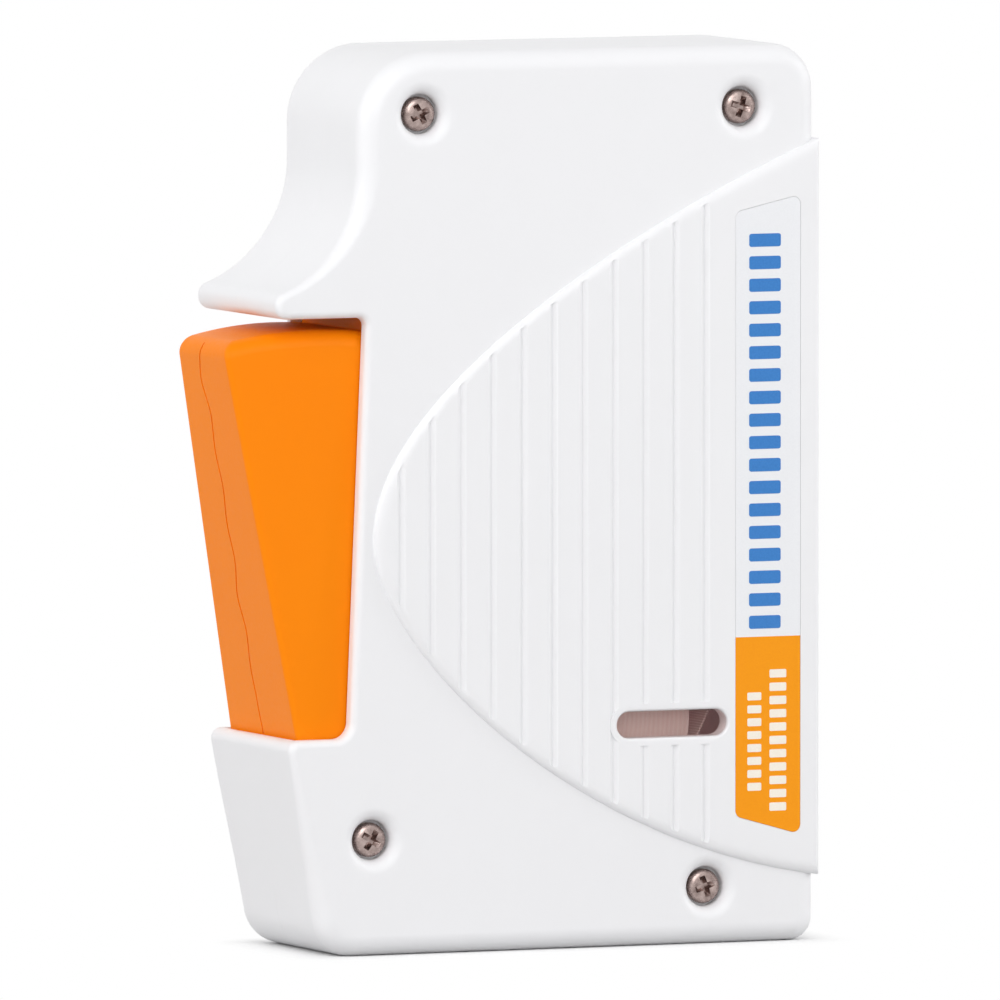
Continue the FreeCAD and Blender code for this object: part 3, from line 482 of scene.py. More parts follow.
# Sight pane: nearly clear styrene with a thin red-brown haze, its colour painted shade of the case's dark
# inside
SMOKED_PANE = SmokedClear("smoked_clear_styrene", "#FFFCFA", "#C86C69", 0.14)
# Felt washer: grey, hairy
FELT = SoftFill("pressed_wool_felt", "#8B8B87", "#5E5E5A", 0.8, 0.12, 0.4)
# Sponge rubber pad: black, finely pitted
SPONGE = SoftFill("black_sponge_rubber", "#2C2C2E", "#1B1B1D", 0.6, 0.1, 0.05)
# Microfibre tape in front of the pad: pale, dull and finely woven
FLAT_TAPE = WovenMicrofibre("woven_microfibre_tape", "#E9D9D3", "#BDA49B")


def link_object(name: str, mesh: bpy.types.Mesh) -> bpy.types.Object:
    """Put a mesh in the scene as an object at the origin.

    Args:
        name: Name of the object.
        mesh: Its mesh.

    Returns:
        The new object.
    """
    piece = bpy.data.objects.new(name, mesh)
    bpy.context.scene.collection.objects.link(piece)
    return piece


def bake(piece: bpy.types.Object) -> bpy.types.Object:
    """Turn a piece's modifiers into a plain mesh.

    Args:
        piece: Object with live modifiers.

    Returns:
        The same object with the result as its mesh and no modifiers.
    """
    graph = bpy.context.evaluated_depsgraph_get()
    graph.update()
    mesh = bpy.data.meshes.new_from_object(piece.evaluated_get(graph), preserve_all_data_layers=True,
                                           depsgraph=graph)
    mesh.name = piece.name
    piece.modifiers.clear()
    piece.data = mesh
    return piece


def drop(piece: bpy.types.Object) -> None:
    """Take a helper object out of the scene."""
    bpy.data.objects.remove(piece)


def mesh_from(bm: bmesh.types.BMesh, name: str) -> bpy.types.Mesh:
    """Turn an edited mesh into a plain one and let go of it.

    Args:
        bm: Edited mesh.
        name: Name of the new mesh.

    Returns:
        The plain mesh.
    """
    mesh = bpy.data.meshes.new(name)
    bm.to_mesh(mesh)
    bm.free()
    return mesh


def cut_away(piece: bpy.types.Object, cutter: bpy.types.Object) -> None:
    """Have a piece cut by another object when it is baked.

    Args:
        piece: Piece to cut.
        cutter: Closed shape that is taken away from it.
    """
    cut = piece.modifiers.new(cutter.name, "BOOLEAN")
    cut.operation = "DIFFERENCE"
    cut.solver = "EXACT"
    cut.object = cutter


def smoothstep(share: float) -> float:
    """Ease a share from 0 to 1, level at both ends."""
    return share * share * (3.0 - 2.0 * share)


def merged_mesh(node: bpy.types.Object, name: str) -> bpy.types.Mesh:
    """Copy a CAD node's mesh with its loose triangles joined into one skin.

    Args:
        node: CAD node's object.
        name: Name of the new mesh.

    Returns:
        The joined copy.
    """
    bm = bmesh.new()
    bm.from_mesh(node.data)
    bmesh.ops.remove_doubles(bm, verts=bm.verts, dist=MERGE_DISTANCE)
    bmesh.ops.dissolve_degenerate(bm, dist=MERGE_DISTANCE, edges=bm.edges)
    mesh = mesh_from(bm, name)
    loose_normals = mesh.attributes.get("custom_normal")
    if loose_normals is not None:
        mesh.attributes.remove(loose_normals)
    return mesh


def smooth_shading(piece: bpy.types.Object, crease_deg: float) -> bpy.types.Object:
    """Shade a piece smooth, with creases kept and flat faces kept flat.

    Args:
        piece: Object whose mesh is one skin.
        crease_deg: Edges that turn by more than this stay sharp.

    Returns:
        The same object.
    """
    piece.data.shade_smooth()
    piece.data.set_sharp_from_angle(angle=math.radians(crease_deg))
    weighted = piece.modifiers.new("face_weighted", "WEIGHTED_NORMAL")
    weighted.keep_sharp = True
    weighted.weight = LARGE_FACE_WEIGHT
    return bake(piece)


def set_finish(piece: bpy.types.Object, *materials: bpy.types.Material) -> bpy.types.Object:
    """Give a piece its materials.

    Args:
        piece: Piece to dress.
        *materials: Materials in slot order.

    Returns:
        The same object.
    """
    piece.data.materials.clear()
    for material in materials:
        piece.data.materials.append(material)
    return piece


def dress_node(node: bpy.types.Object, material: bpy.types.Material) -> None:
    """Give a CAD node that stays in view its material.

    Args:
        node: CAD node's object.
        material: Its finish.
    """
    for place in node.material_slots:
        place.link = "OBJECT"
        place.material = material


def skins(mesh: bpy.types.Mesh) -> list[tuple[Vector, Vector]]:
    """Find the separate skins of a joined mesh.

    Args:
        mesh: Mesh of one or more closed skins.

    Returns:
        Lowest and highest corner of each skin.
    """
    bm = bmesh.new()
    bm.from_mesh(mesh)
    left = set(bm.verts)
    boxes = []
    while left:
        group = [left.pop()]
        corners = []
        while group:
            vert = group.pop()
            corners.append(vert.co.copy())
            for edge in vert.link_edges:
                other = edge.other_vert(vert)
                if other in left:
                    left.discard(other)
                    group.append(other)
        boxes.append((Vector([min(c[i] for c in corners) for i in range(3)]),
                      Vector([max(c[i] for c in corners) for i in range(3)])))
    bm.free()
    return boxes


def lathe(name: str, profile: Sequence[tuple[float, float]], steps: int, ring: bool) -> bpy.types.Mesh:
    """Turn a profile round the Y axis into a closed skin.

    Args:
        name: Name of the mesh.
        profile: Radius and place along Y of each point, in millimetres.
        steps: Points in a turn.
        ring: True where the profile is a closed loop clear of the axis.

    Returns:
        The turned mesh.
    """
    bm = bmesh.new()
    turns = [2.0 * math.pi * i / steps for i in range(steps)]
    rows = []
    for radius, along in profile:
        if radius == 0.0:
            rows.append([bm.verts.new((0.0, along * MM, 0.0))] * steps)
        else:
            reach = radius * MM
            rows.append([bm.verts.new((reach * math.cos(turn), along * MM, reach * math.sin(turn)))
                         for turn in turns])
    following = rows[1:] + rows[:1] if ring else rows[1:]
    for row, after in zip(rows, following):
        for i in range(steps):
            j = (i + 1) % steps
            corners = list(dict.fromkeys((row[i], row[j], after[j], after[i])))
            bm.faces.new(corners)
    bmesh.ops.recalc_face_normals(bm, faces=bm.faces)
    return mesh_from(bm, name)


def new_tree(name: str, sockets: Sequence[tuple[str, str]]) -> tuple[bpy.types.NodeTree, dict[str, str]]:
    """Start a Geometry Nodes tree with a geometry input, named inputs and a geometry output.

    Args:
        name: Name of the tree.
        sockets: Name and socket type of each further input.

    Returns:
        The tree, and each named input's identifier.
    """
    tree = bpy.data.node_groups.new(name, "GeometryNodeTree")
    tree.is_modifier = True
    tree.interface.new_socket("Geometry", in_out="INPUT", socket_type="NodeSocketGeometry")
    identifiers = {label: tree.interface.new_socket(label, in_out="INPUT", socket_type=kind).identifier
                   for label, kind in sockets}
    tree.interface.new_socket("Geometry", in_out="OUTPUT", socket_type="NodeSocketGeometry")
    return tree, identifiers


def close_tree(tree: bpy.types.NodeTree, geometry: bpy.types.NodeSocket,
               finish: bpy.types.NodeSocket) -> None:
    """End a Geometry Nodes tree: make its copies real and give the result its material.

    Args:
        tree: Tree to end.
        geometry: Socket of the built shape.
        finish: Socket of the material.
    """
    real = add_node(tree, "GeometryNodeRealizeInstances", {"Geometry": geometry})
    dressed = add_node(tree, "GeometryNodeSetMaterial",
                       {"Geometry": real.outputs["Geometry"], "Material": finish})
    add_node(tree, "NodeGroupOutput", {"Geometry": dressed.outputs["Geometry"]})


def run_tree(piece: bpy.types.Object, tree: bpy.types.NodeTree, identifiers: dict[str, str],
             values: dict[str, Any]) -> bpy.types.Object:
    """Run a Geometry Nodes tree on an object and keep the result as a plain mesh.

    Args:
        piece: Object that carries the tree.
        tree: Tree to run.
        identifiers: Identifier of each named input.
        values: Value of each named input.

    Returns:
        The same object with the result as its mesh.
    """
    modifier = piece.modifiers.new(tree.name, "NODES")
    modifier.node_group = tree
    for label, value in values.items():
        modifier[identifiers[label]] = value
    return bake(piece)


def points_mesh(name: str, points: Sequence[Vector], joined: bool) -> bpy.types.Mesh:
    """Make a mesh of points.

    Args:
        name: Name of the mesh.
        points: Places of the points, in metres.
        joined: True to join them in a line.

    Returns:
        The mesh, without faces.
    """
    mesh = bpy.data.meshes.new(name)
    edges = [(i, i + 1) for i in range(len(points) - 1)] if joined else []
    mesh.from_pydata([tuple(point) for point in points], edges, [])
    return mesh


def enlist(piece: bpy.types.Object, body: Body, slot: Slot, *nodes: str) -> bpy.types.Object:
    """Make a finished piece ride on its body and stand for its CAD nodes.

    Args:
        piece: Finished piece.
        body: Body that it moves with.
        slot: Record's material slot; not used.
        *nodes: CAD nodes that it stands for.

    Returns:
        The same object.
    """
    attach(piece, body.value)
    if nodes:
        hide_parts(*nodes)
    LOG.info("%s: %d faces, on %s", piece.name, len(piece.data.polygons), body.value)
    return piece


@dataclass
class CaseShells:
    """The two moulded half shells of the case."""

    crease_deg: float = 28.0
    seam_reach: float = 0.15
    seam_closing: float = 0.6

    def close_seam(self, mesh: bpy.types.Mesh) -> None:
        """Draw the chamfer at the seam out towards the wall, so that the joint is only a hairline.

        Args:
            mesh: Joined mesh of one shell.
        """
        bm = bmesh.new()
        bm.from_mesh(mesh)
        moves = {}
        for vert in bm.verts:
            if abs(vert.co.y) < MERGE_DISTANCE:
                short = [edge for edge in vert.link_edges if edge.calc_length() < self.seam_reach * MM]
                near = [edge.other_vert(vert) for edge in short]
                wall = [other for other in near if abs(other.co.y) > MERGE_DISTANCE]
                if wall:
                    moves[vert] = Vector((wall[0].co.x - vert.co.x, 0.0, wall[0].co.z - vert.co.z))
        for vert, move in moves.items():
            vert.co += move * self.seam_closing
        LOG.info("%s: %d seam points", mesh.name, len(moves))
        bm.to_mesh(mesh)
        bm.free()

    def build(self, nodes: dict[str, bpy.types.Object], finish: bpy.types.Material) -> None:
        """Make smooth-shaded shells from the CAD covers.

        Args:
            nodes: CAD nodes by name.
            finish: Case plastic.
        """
        for side in ("front", "rear"):
            cover = f"{side}_cover"
            shell = link_object(f"{side}_shell", merged_mesh(nodes[cover], f"{side}_shell"))
            self.close_seam(shell.data)
            smooth_shading(shell, self.crease_deg)
            set_finish(shell, finish)
            enlist(shell, Body.HOUSING, Slot.CASE, cover)


@dataclass
class CaseScrews:
    """Four pan-head screws with a tapered cross recess, sunk in the front shell."""

    dome: float = 0.22
    dome_shares: tuple[float, ...] = (0.0, 0.35, 0.7, 1.0)
    crown_radius: float = 0.76
    crown_turns_deg: tuple[float, ...] = (30.0, 60.0, 90.0)
    head_height: float = 1.9
    foot_chamfer: float = 0.12
    shank_radius: float = 1.45
    point_length: float = 1.2
    cross_half_span: float = 1.7
    cross_half_width: float = 0.48
    cross_depth: float = 1.3
    cross_taper: float = 0.5
    cutter_lift: float = 0.4
    cutter_flare: float = 1.12
    edge_bevel: float = 0.07
    bevel_segments: int = 2
    crease_deg: float = 40.0
    steps: int = 48
    turns_deg: tuple[float, ...] = (62.0, 18.0, 33.0, 71.0)

    def head_profile(self, radius: float, length: float) -> list[tuple[float, float]]:
        """Outline of the screw from the middle of its head to its point.

        Args:
            radius: Head radius.
            length: From the seat to the point.

        Returns:
            Radius and place along Y, with the seat at 0 and the head to -Y.
        """
        flat = radius - self.crown_radius
        dome = [(flat * share, -self.head_height + self.dome * share ** 2) for share in self.dome_shares]
        crown = []
        for turn in self.crown_turns_deg:
            angle = math.radians(turn)
            crown.append((flat + self.crown_radius * math.sin(angle),
                          -self.head_height + self.dome + self.crown_radius * (1.0 - math.cos(angle))))
        foot = [(radius, -self.foot_chamfer), (radius - self.foot_chamfer, 0.0)]
        shank = [(self.shank_radius, 0.0), (self.shank_radius, length - self.point_length), (0.0, length)]
        return dome + crown + foot + shank

    def recess_cutter(self) -> bpy.types.Object:
        """Make the tapered cross that is cut into the head.

        Returns:
            The cutter.
        """
        bm = bmesh.new()
        reach, half = self.cross_half_span, self.cross_half_width
        outline = [(half, half), (half, reach), (-half, reach),
                   (-half, half), (-reach, half), (-reach, -half),
                   (-half, -half), (-half, -reach), (half, -reach),
                   (half, -half), (reach, -half), (reach, half)]
        rows = []
        for along, scale in ((-self.head_height - self.cutter_lift, self.cutter_flare),
                             (-self.head_height + self.cross_depth, self.cross_taper)):
            rows.append([bm.verts.new((x * scale * MM, along * MM, z * scale * MM)) for x, z in outline])
        bm.faces.new(rows[0])
        bm.faces.new(rows[1])
        for i in range(len(outline)):
            j = (i + 1) % len(outline)
            bm.faces.new((rows[0][i], rows[0][j], rows[1][j], rows[1][i]))
        bmesh.ops.recalc_face_normals(bm, faces=bm.faces)
        return link_object("cross_recess", mesh_from(bm, "cross_recess"))

    def one_screw(self, radius: float, length: float) -> bpy.types.Object:
        """Make one screw at the origin, its head to -Y.

        Args:
            radius: Head radius.
            length: From the seat to the point.

        Returns:
            The screw, for the tree to repeat.
        """
        screw = link_object("screw", lathe("screw", self.head_profile(radius, length), self.steps, False))
        cutter = self.recess_cutter()
        cut_away(screw, cutter)
        ease = screw.modifiers.new("ease", "BEVEL")
        ease.width = self.edge_bevel * MM
        ease.segments = self.bevel_segments
        ease.limit_method = "ANGLE"
        ease.angle_limit = math.radians(self.crease_deg)
        bake(screw)
        drop(cutter)
        return smooth_shading(screw, self.crease_deg)

    def tree(self) -> tuple[bpy.types.NodeTree, dict[str, str]]:
        """Tree that sets one screw at each point, turned by the point's own angle.

        Returns:
            The tree, and each named input's identifier.
        """
        tree, names = new_tree("screw_set", [("Screw", "NodeSocketObject"), ("Finish", "NodeSocketMaterial")])
        inputs = add_node(tree, "NodeGroupInput")
        screw = add_node(tree, "GeometryNodeObjectInfo", {"Object": inputs.outputs["Screw"]})
        turn = add_node(tree, "GeometryNodeInputNamedAttribute", {"Name": "turn"}, data_type="FLOAT")
        spin = add_node(tree, "ShaderNodeCombineXYZ", {"Y": turn.outputs["Attribute"]})
        placed = add_node(tree, "GeometryNodeInstanceOnPoints",
                          {"Points": inputs.outputs["Geometry"], "Instance": screw.outputs["Geometry"],
                           "Rotation": spin.outputs["Vector"]})
        close_tree(tree, placed.outputs["Instances"], inputs.outputs["Finish"])
        return tree, names

    def build(self, nodes: dict[str, bpy.types.Object], finish: bpy.types.Material) -> None:
        """Set the screws where the CAD screws are.

        Args:
            nodes: CAD nodes by name.
            finish: Screw metal.
        """
        boxes = sorted(skins(merged_mesh(nodes["case_screws"], "screw_places")),
                       key=lambda box: (-box[0].z, box[0].x))
        low, high = boxes[0]
        seat = low.y + self.head_height * MM
        screw = self.one_screw((high.x - low.x) / 2 / MM, (high.y - seat) / MM)
        seats = [Vector(((lo.x + hi.x) / 2, seat, (lo.z + hi.z) / 2)) for lo, hi in boxes]
        mesh = points_mesh("screws", seats, False)
        turn = mesh.attributes.new("turn", "FLOAT", "POINT")
        turn.data.foreach_set("value", [math.radians(angle) for angle in self.turns_deg])
        screws = link_object("screws", mesh)
        tree, names = self.tree()
        run_tree(screws, tree, names, {"Screw": screw, "Finish": finish})
        drop(screw)
        enlist(screws, Body.HOUSING, Slot.SCREW, "case_screws")


@dataclass
class PrintRow:
    """A row of equal printed bars up the label."""

    name: str
    left: float
    foot: float
    count: int
    pitch: float
    bar_width: float
    bar_height: float
    corner: float


@dataclass
class LabelStrip:
    """Label film let into the raised panel: a white field above, an orange field below, printed bars."""

    split_height: float = 44.4
    ink_thickness: float = 0.03
    ink_sink: float = 0.01
    corner_points: int = 4
    # Each row: left edge, foot, count, pitch, bar width, bar height and corner radius
    blue_rows: tuple[PrintRow, ...] = (
        PrintRow("blue_bars", 2.1, 29.6, 18, 3.25, 5.0, 1.9, 0.35),
    )
    white_rows: tuple[PrintRow, ...] = (
        PrintRow("white_bars_left", 1.85, 6.15, 8, 1.87, 2.2, 1.15, 0.2),
        PrintRow("white_bars_right", 5.35, 3.15, 11, 1.93, 2.65, 1.2, 0.2),
    )

    def film(self, node: bpy.types.Object, white: bpy.types.Material, orange: bpy.types.Material) -> None:
        """Make the film, with its two fields split by a straight line.

        Args:
            node: CAD label.
            white: Finish of the upper field.
            orange: Finish of the lower field.
        """
        mesh = merged_mesh(node, "label_film")
        film = set_finish(link_object("label_film", mesh), white, orange)
        bm = bmesh.new()
        bm.from_mesh(mesh)
        bmesh.ops.bisect_plane(bm, geom=bm.verts[:] + bm.edges[:] + bm.faces[:], dist=MERGE_DISTANCE,
                               plane_co=(0.0, 0.0, self.split_height * MM), plane_no=(0.0, 0.0, 1.0))
        for face in bm.faces:
            face.material_index = int(face.calc_center_median().z < self.split_height * MM)
        bm.to_mesh(mesh)
        bm.free()
        enlist(film, Body.HOUSING, Slot.LABEL, "label")

    def tree(self) -> tuple[bpy.types.NodeTree, dict[str, str]]:
        """Tree that repeats a flat rounded bar up the label.

        Returns:
            The tree, and each named input's identifier.
        """
        tree, names = new_tree("print_row", [
            ("Count", "NodeSocketInt"), ("Pitch", "NodeSocketFloat"),
            ("Bar Width", "NodeSocketFloat"), ("Bar Height", "NodeSocketFloat"),
            ("Corner", "NodeSocketFloat"), ("Thickness", "NodeSocketFloat"),
            ("Foot", "NodeSocketVector"), ("Finish", "NodeSocketMaterial")])
        inputs = add_node(tree, "NodeGroupInput")
        step = add_node(tree, "ShaderNodeCombineXYZ", {"Z": inputs.outputs["Pitch"]})
        line = add_node(tree, "GeometryNodeMeshLine",
                        {"Count": inputs.outputs["Count"], "Start Location": inputs.outputs["Foot"],
                         "Offset": step.outputs["Vector"]})
        bar = add_node(tree, "GeometryNodeCurvePrimitiveQuadrilateral",
                       {"Width": inputs.outputs["Bar Width"], "Height": inputs.outputs["Bar Height"]})
        rounded = add_node(tree, "GeometryNodeFilletCurve",
                           {"Curve": bar.outputs["Curve"], "Radius": inputs.outputs["Corner"],
                            "Count": self.corner_points}, mode="POLY")
        sheet = add_node(tree, "GeometryNodeFillCurve", {"Curve": rounded.outputs["Curve"]}, mode="NGONS")
        raised = add_node(tree, "GeometryNodeExtrudeMesh",
                          {"Mesh": sheet.outputs["Mesh"], "Offset Scale": inputs.outputs["Thickness"],
                           "Individual": False})
        under = add_node(tree, "GeometryNodeFlipFaces", {"Mesh": sheet.outputs["Mesh"]})
        both = add_node(tree, "GeometryNodeJoinGeometry", {"Geometry": raised.outputs["Mesh"]})
        tree.links.new(under.outputs["Mesh"], both.inputs["Geometry"])
        closed = add_node(tree, "GeometryNodeMergeByDistance",
                          {"Geometry": both.outputs["Geometry"], "Distance": MERGE_DISTANCE})
        placed = add_node(tree, "GeometryNodeInstanceOnPoints",
                          {"Points": line.outputs["Mesh"], "Instance": closed.outputs["Geometry"],
                           "Rotation": (math.pi / 2, 0.0, 0.0)})
        close_tree(tree, placed.outputs["Instances"], inputs.outputs["Finish"])
        return tree, names

    def print_rows(self, rows: Sequence[PrintRow], finish: bpy.types.Material) -> None:
        """Print rows of bars on the film.

        Args:
            rows: Rows to print, placed from the label's lower left corner.
            finish: Ink.
        """
        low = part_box("label")[0]
        tree, names = self.tree()
        for row in rows:
            bars = link_object(row.name, points_mesh(row.name, [], False))
            foot = (low.x + (row.left + row.bar_width / 2) * MM, low.y + self.ink_sink * MM,
                    low.z + (row.foot + row.bar_height / 2) * MM)
            run_tree(bars, tree, names, {
                "Count": row.count, "Pitch": row.pitch * MM, "Bar Width": row.bar_width * MM,
                "Bar Height": row.bar_height * MM, "Corner": row.corner * MM,
                "Thickness": self.ink_thickness * MM, "Foot": foot, "Finish": finish})
            enlist(bars, Body.HOUSING, Slot.LABEL)

    def build(self, nodes: dict[str, bpy.types.Object]) -> None:
        """Make the film and its print.

        Args:
            nodes: CAD nodes by name.
        """
        self.film(nodes["label"], WHITE_FILM.build(), ORANGE_FILM.build())
        self.print_rows(self.blue_rows, BLUE_INK.build())
        self.print_rows(self.white_rows, WHITE_INK.build())


@dataclass
class PressLever:
    """Orange press lever, with the wavy joint line of its two shells down the outer face."""

    crease_deg: float = 30.0
    top_drop: float = 0.8
    drop_from: float = 80.0
    drop_whole_at: float = 87.0
    line_top: float = 88.0
    line_foot: float = 30.5
    line_radius: float = 0.22
    line_sink: float = 0.12
    line_steps: int = 72
    line_sides: int = 8
    # Sideways place of the joint line from its top to its foot, towards the back
    line_sways: tuple[float, ...] = (0.5, 1.7, 0.2, 0.8, 0.1, 0.8, 0.1, 1.3, 0.1, 0.7, 0.3, -0.1)

    def sway(self, share: float) -> float:
        """Sideways place of the joint line.

        Args:
            share: 0 at the top of the line and 1 at its foot.

        Returns:
            Place along Y.
        """
        along = share * (len(self.line_sways) - 1)
        first = min(int(along), len(self.line_sways) - 2)
        ease = smoothstep(along - first)
        return self.line_sways[first] * (1.0 - ease) + self.line_sways[first + 1] * ease

    def lower_top(self, mesh: bpy.types.Mesh) -> None:
        """Let the top of the lever down a little, so that a dark gap shows under the case's nose.

        Args:
            mesh: Joined mesh of the lever.
        """
        span = self.drop_whole_at - self.drop_from
        for vert in mesh.vertices:
            share = min(max((vert.co.z / MM - self.drop_from) / span, 0.0), 1.0)
            vert.co.z -= self.top_drop * MM * smoothstep(share)

    def line_tree(self) -> tuple[bpy.types.NodeTree, dict[str, str]]:
        """Tree that lays a round bar along a line.

        Returns:
            The tree, and each named input's identifier.
        """
        tree, names = new_tree("joint_line", [("Radius", "NodeSocketFloat"), ("Sides", "NodeSocketInt"),
                                              ("Finish", "NodeSocketMaterial")])
        inputs = add_node(tree, "NodeGroupInput")
        path = add_node(tree, "GeometryNodeMeshToCurve", {"Mesh": inputs.outputs["Geometry"]})
        ring = add_node(tree, "GeometryNodeCurvePrimitiveCircle",
                        {"Resolution": inputs.outputs["Sides"], "Radius": inputs.outputs["Radius"]})
        bar = add_node(tree, "GeometryNodeCurveToMesh",
                       {"Curve": path.outputs["Curve"], "Profile Curve": ring.outputs["Curve"],
                        "Fill Caps": True})
        close_tree(tree, bar.outputs["Mesh"], inputs.outputs["Finish"])
        return tree, names

    def joint_line(self, lever: bpy.types.Object, finish: bpy.types.Material) -> bpy.types.Object:
        """Make the cutter of the joint line, laid on the lever's outer face.

        Args:
            lever: Lever that it lies on.
            finish: Lever plastic.

        Returns:
            The cutter.
        """
        bm = bmesh.new()
        bm.from_mesh(lever.data)
        skin = BVHTree.FromBMesh(bm)
        bm.free()
        outside_x = 2.0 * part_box("lever")[0].x
        inward = Vector((1.0, 0.0, 0.0))
        sunk = Vector((self.line_sink * MM, 0.0, 0.0))
        points = []
        for i in range(self.line_steps + 1):
            share = i / self.line_steps
            height = self.line_top + (self.line_foot - self.line_top) * share
            start = Vector((outside_x, self.sway(share) * MM, height * MM))
            points.append(skin.ray_cast(start, inward)[0] + sunk)
        line = link_object("joint_line", points_mesh("joint_line", points, True))
        tree, names = self.line_tree()
        return run_tree(line, tree, names, {"Radius": self.line_radius * MM, "Sides": self.line_sides,
                                            "Finish": finish})

    def build(self, nodes: dict[str, bpy.types.Object], finish: bpy.types.Material) -> None:
        """Make the lever from the CAD lever and cut its joint line.

        Args:
            nodes: CAD nodes by name.
            finish: Lever plastic.
        """
        lever = link_object("press_lever", merged_mesh(nodes["lever"], "press_lever"))
        self.lower_top(lever.data)
        set_finish(lever, finish)
        line = self.joint_line(lever, finish)
        cut_away(lever, line)
        bake(lever)
        drop(line)
        smooth_shading(lever, self.crease_deg)
        set_finish(lever, finish)
        enlist(lever, Body.LEVER, Slot.LEVER, "lever")


@dataclass
class ReturnSpring:
    """Coil spring under the crank's arm, which on the real cassette shortens as the lever goes in; here it
    keeps its CAD shape.
    """

    kept_length: float = 0.6
    crease_deg: float = 40.0

    def build(self, nodes: dict[str, bpy.types.Object], finish: bpy.types.Material) -> None:
        """Make the spring from the CAD spring.

        Args:
            nodes: CAD nodes by name.
            finish: Spring wire.
        """
        spring = link_object("coil_spring", merged_mesh(nodes["return_spring"], "coil_spring"))
        smooth_shading(spring, self.crease_deg)
        set_finish(spring, finish)
        enlist(spring, Body.HOUSING, Slot.SPRING, "return_spring")
        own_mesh(spring)


@dataclass
class WoundRoll:
    """A roll of wound tape, with the edges of its turns standing up in rings."""

    node: str
    body: Body
    slot: Slot
    hub_radius: float
    light: str
    dark: str
    ring_pitch: float = 0.7
    ring_depth: float = 0.12
    steps: int = 160
    crease_deg: float = 60.0

    def profile(self, radius: float, front: float, back: float) -> list[tuple[float, float]]:
        """Outline of the roll's cross-section.

        Args:
            radius: Outer radius.
            front: Front end along Y.
            back: Back end along Y.

        Returns:
            Radius and place along Y of each point, round the section.
        """
        count = int((radius - self.hub_radius) / self.ring_pitch)
        pitch = (radius - self.hub_radius) / count
        face = []
        for i in range(count):
            face.append((self.hub_radius + pitch * i, self.ring_depth))
            face.append((self.hub_radius + pitch * (i + 0.5), 0.0))
        face.append((radius, self.ring_depth))
        return [(r, front + dip) for r, dip in face] + [(r, back - dip) for r, dip in reversed(face)]

    def build(self) -> None:
        """Make the roll where the CAD roll is."""
        low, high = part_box(self.node)
        centre = (low + high) / 2
        radius = (high.x - low.x) / 2 / MM
        mesh = lathe(f"{self.node}_turns", self.profile(radius, low.y / MM, high.y / MM), self.steps, True)
        mesh.transform(Matrix.Translation((centre.x, 0.0, centre.z)))
        roll = link_object(f"{self.node}_turns", mesh)
        smooth_shading(roll, self.crease_deg)
        finish = WoundMicrofibre(f"{self.node}_microfibre", self.light, self.dark,
                                 (centre.x / MM, 0.0, centre.z / MM))
        set_finish(roll, finish.build())
        enlist(roll, self.body, self.slot, self.node)


@dataclass
class InnerParts:
    """CAD parts inside the case that keep their shape and take a finish."""

    finishes: dict[str, Any] = field(default_factory=lambda: {
        "lever_pin": GROUND_STEEL, "guide_pins": GROUND_STEEL, "clutch_ring": GROUND_STEEL,
        "bell_crank": ACETAL, "drive_pinion": ACETAL, "takeup_spool": BLACK_STYRENE,
        "supply_spool": BLACK_STYRENE, "pad_holder": BLACK_STYRENE, "slot_guide": GREY_ABS,
        "shutter": GREY_ABS, "supply_brake": FELT, "cleaning_pad": SPONGE, "tape_run": FLAT_TAPE,
        "sight_pane": SMOKED_PANE})

    def build(self, nodes: dict[str, bpy.types.Object]) -> None:
        """Dress each part, with one material for each finish.

        Args:
            nodes: CAD nodes by name.
        """
        made: dict[str, bpy.types.Material] = {}
        for name, finish in self.finishes.items():
            if finish.name not in made:
                made[finish.name] = finish.build()
            dress_node(nodes[name], made[finish.name])
            LOG.info("%s: %s", name, finish.name)


@dataclass(frozen=True)
class Lamp:
    """A square soft lamp, placed round the cassette and turned to it, mirrored in gloss or not."""

    name: str
    azimuth_deg: float
    elevation_deg: float
    distance: float
    size: float
    power: float
    mirrored: bool = True


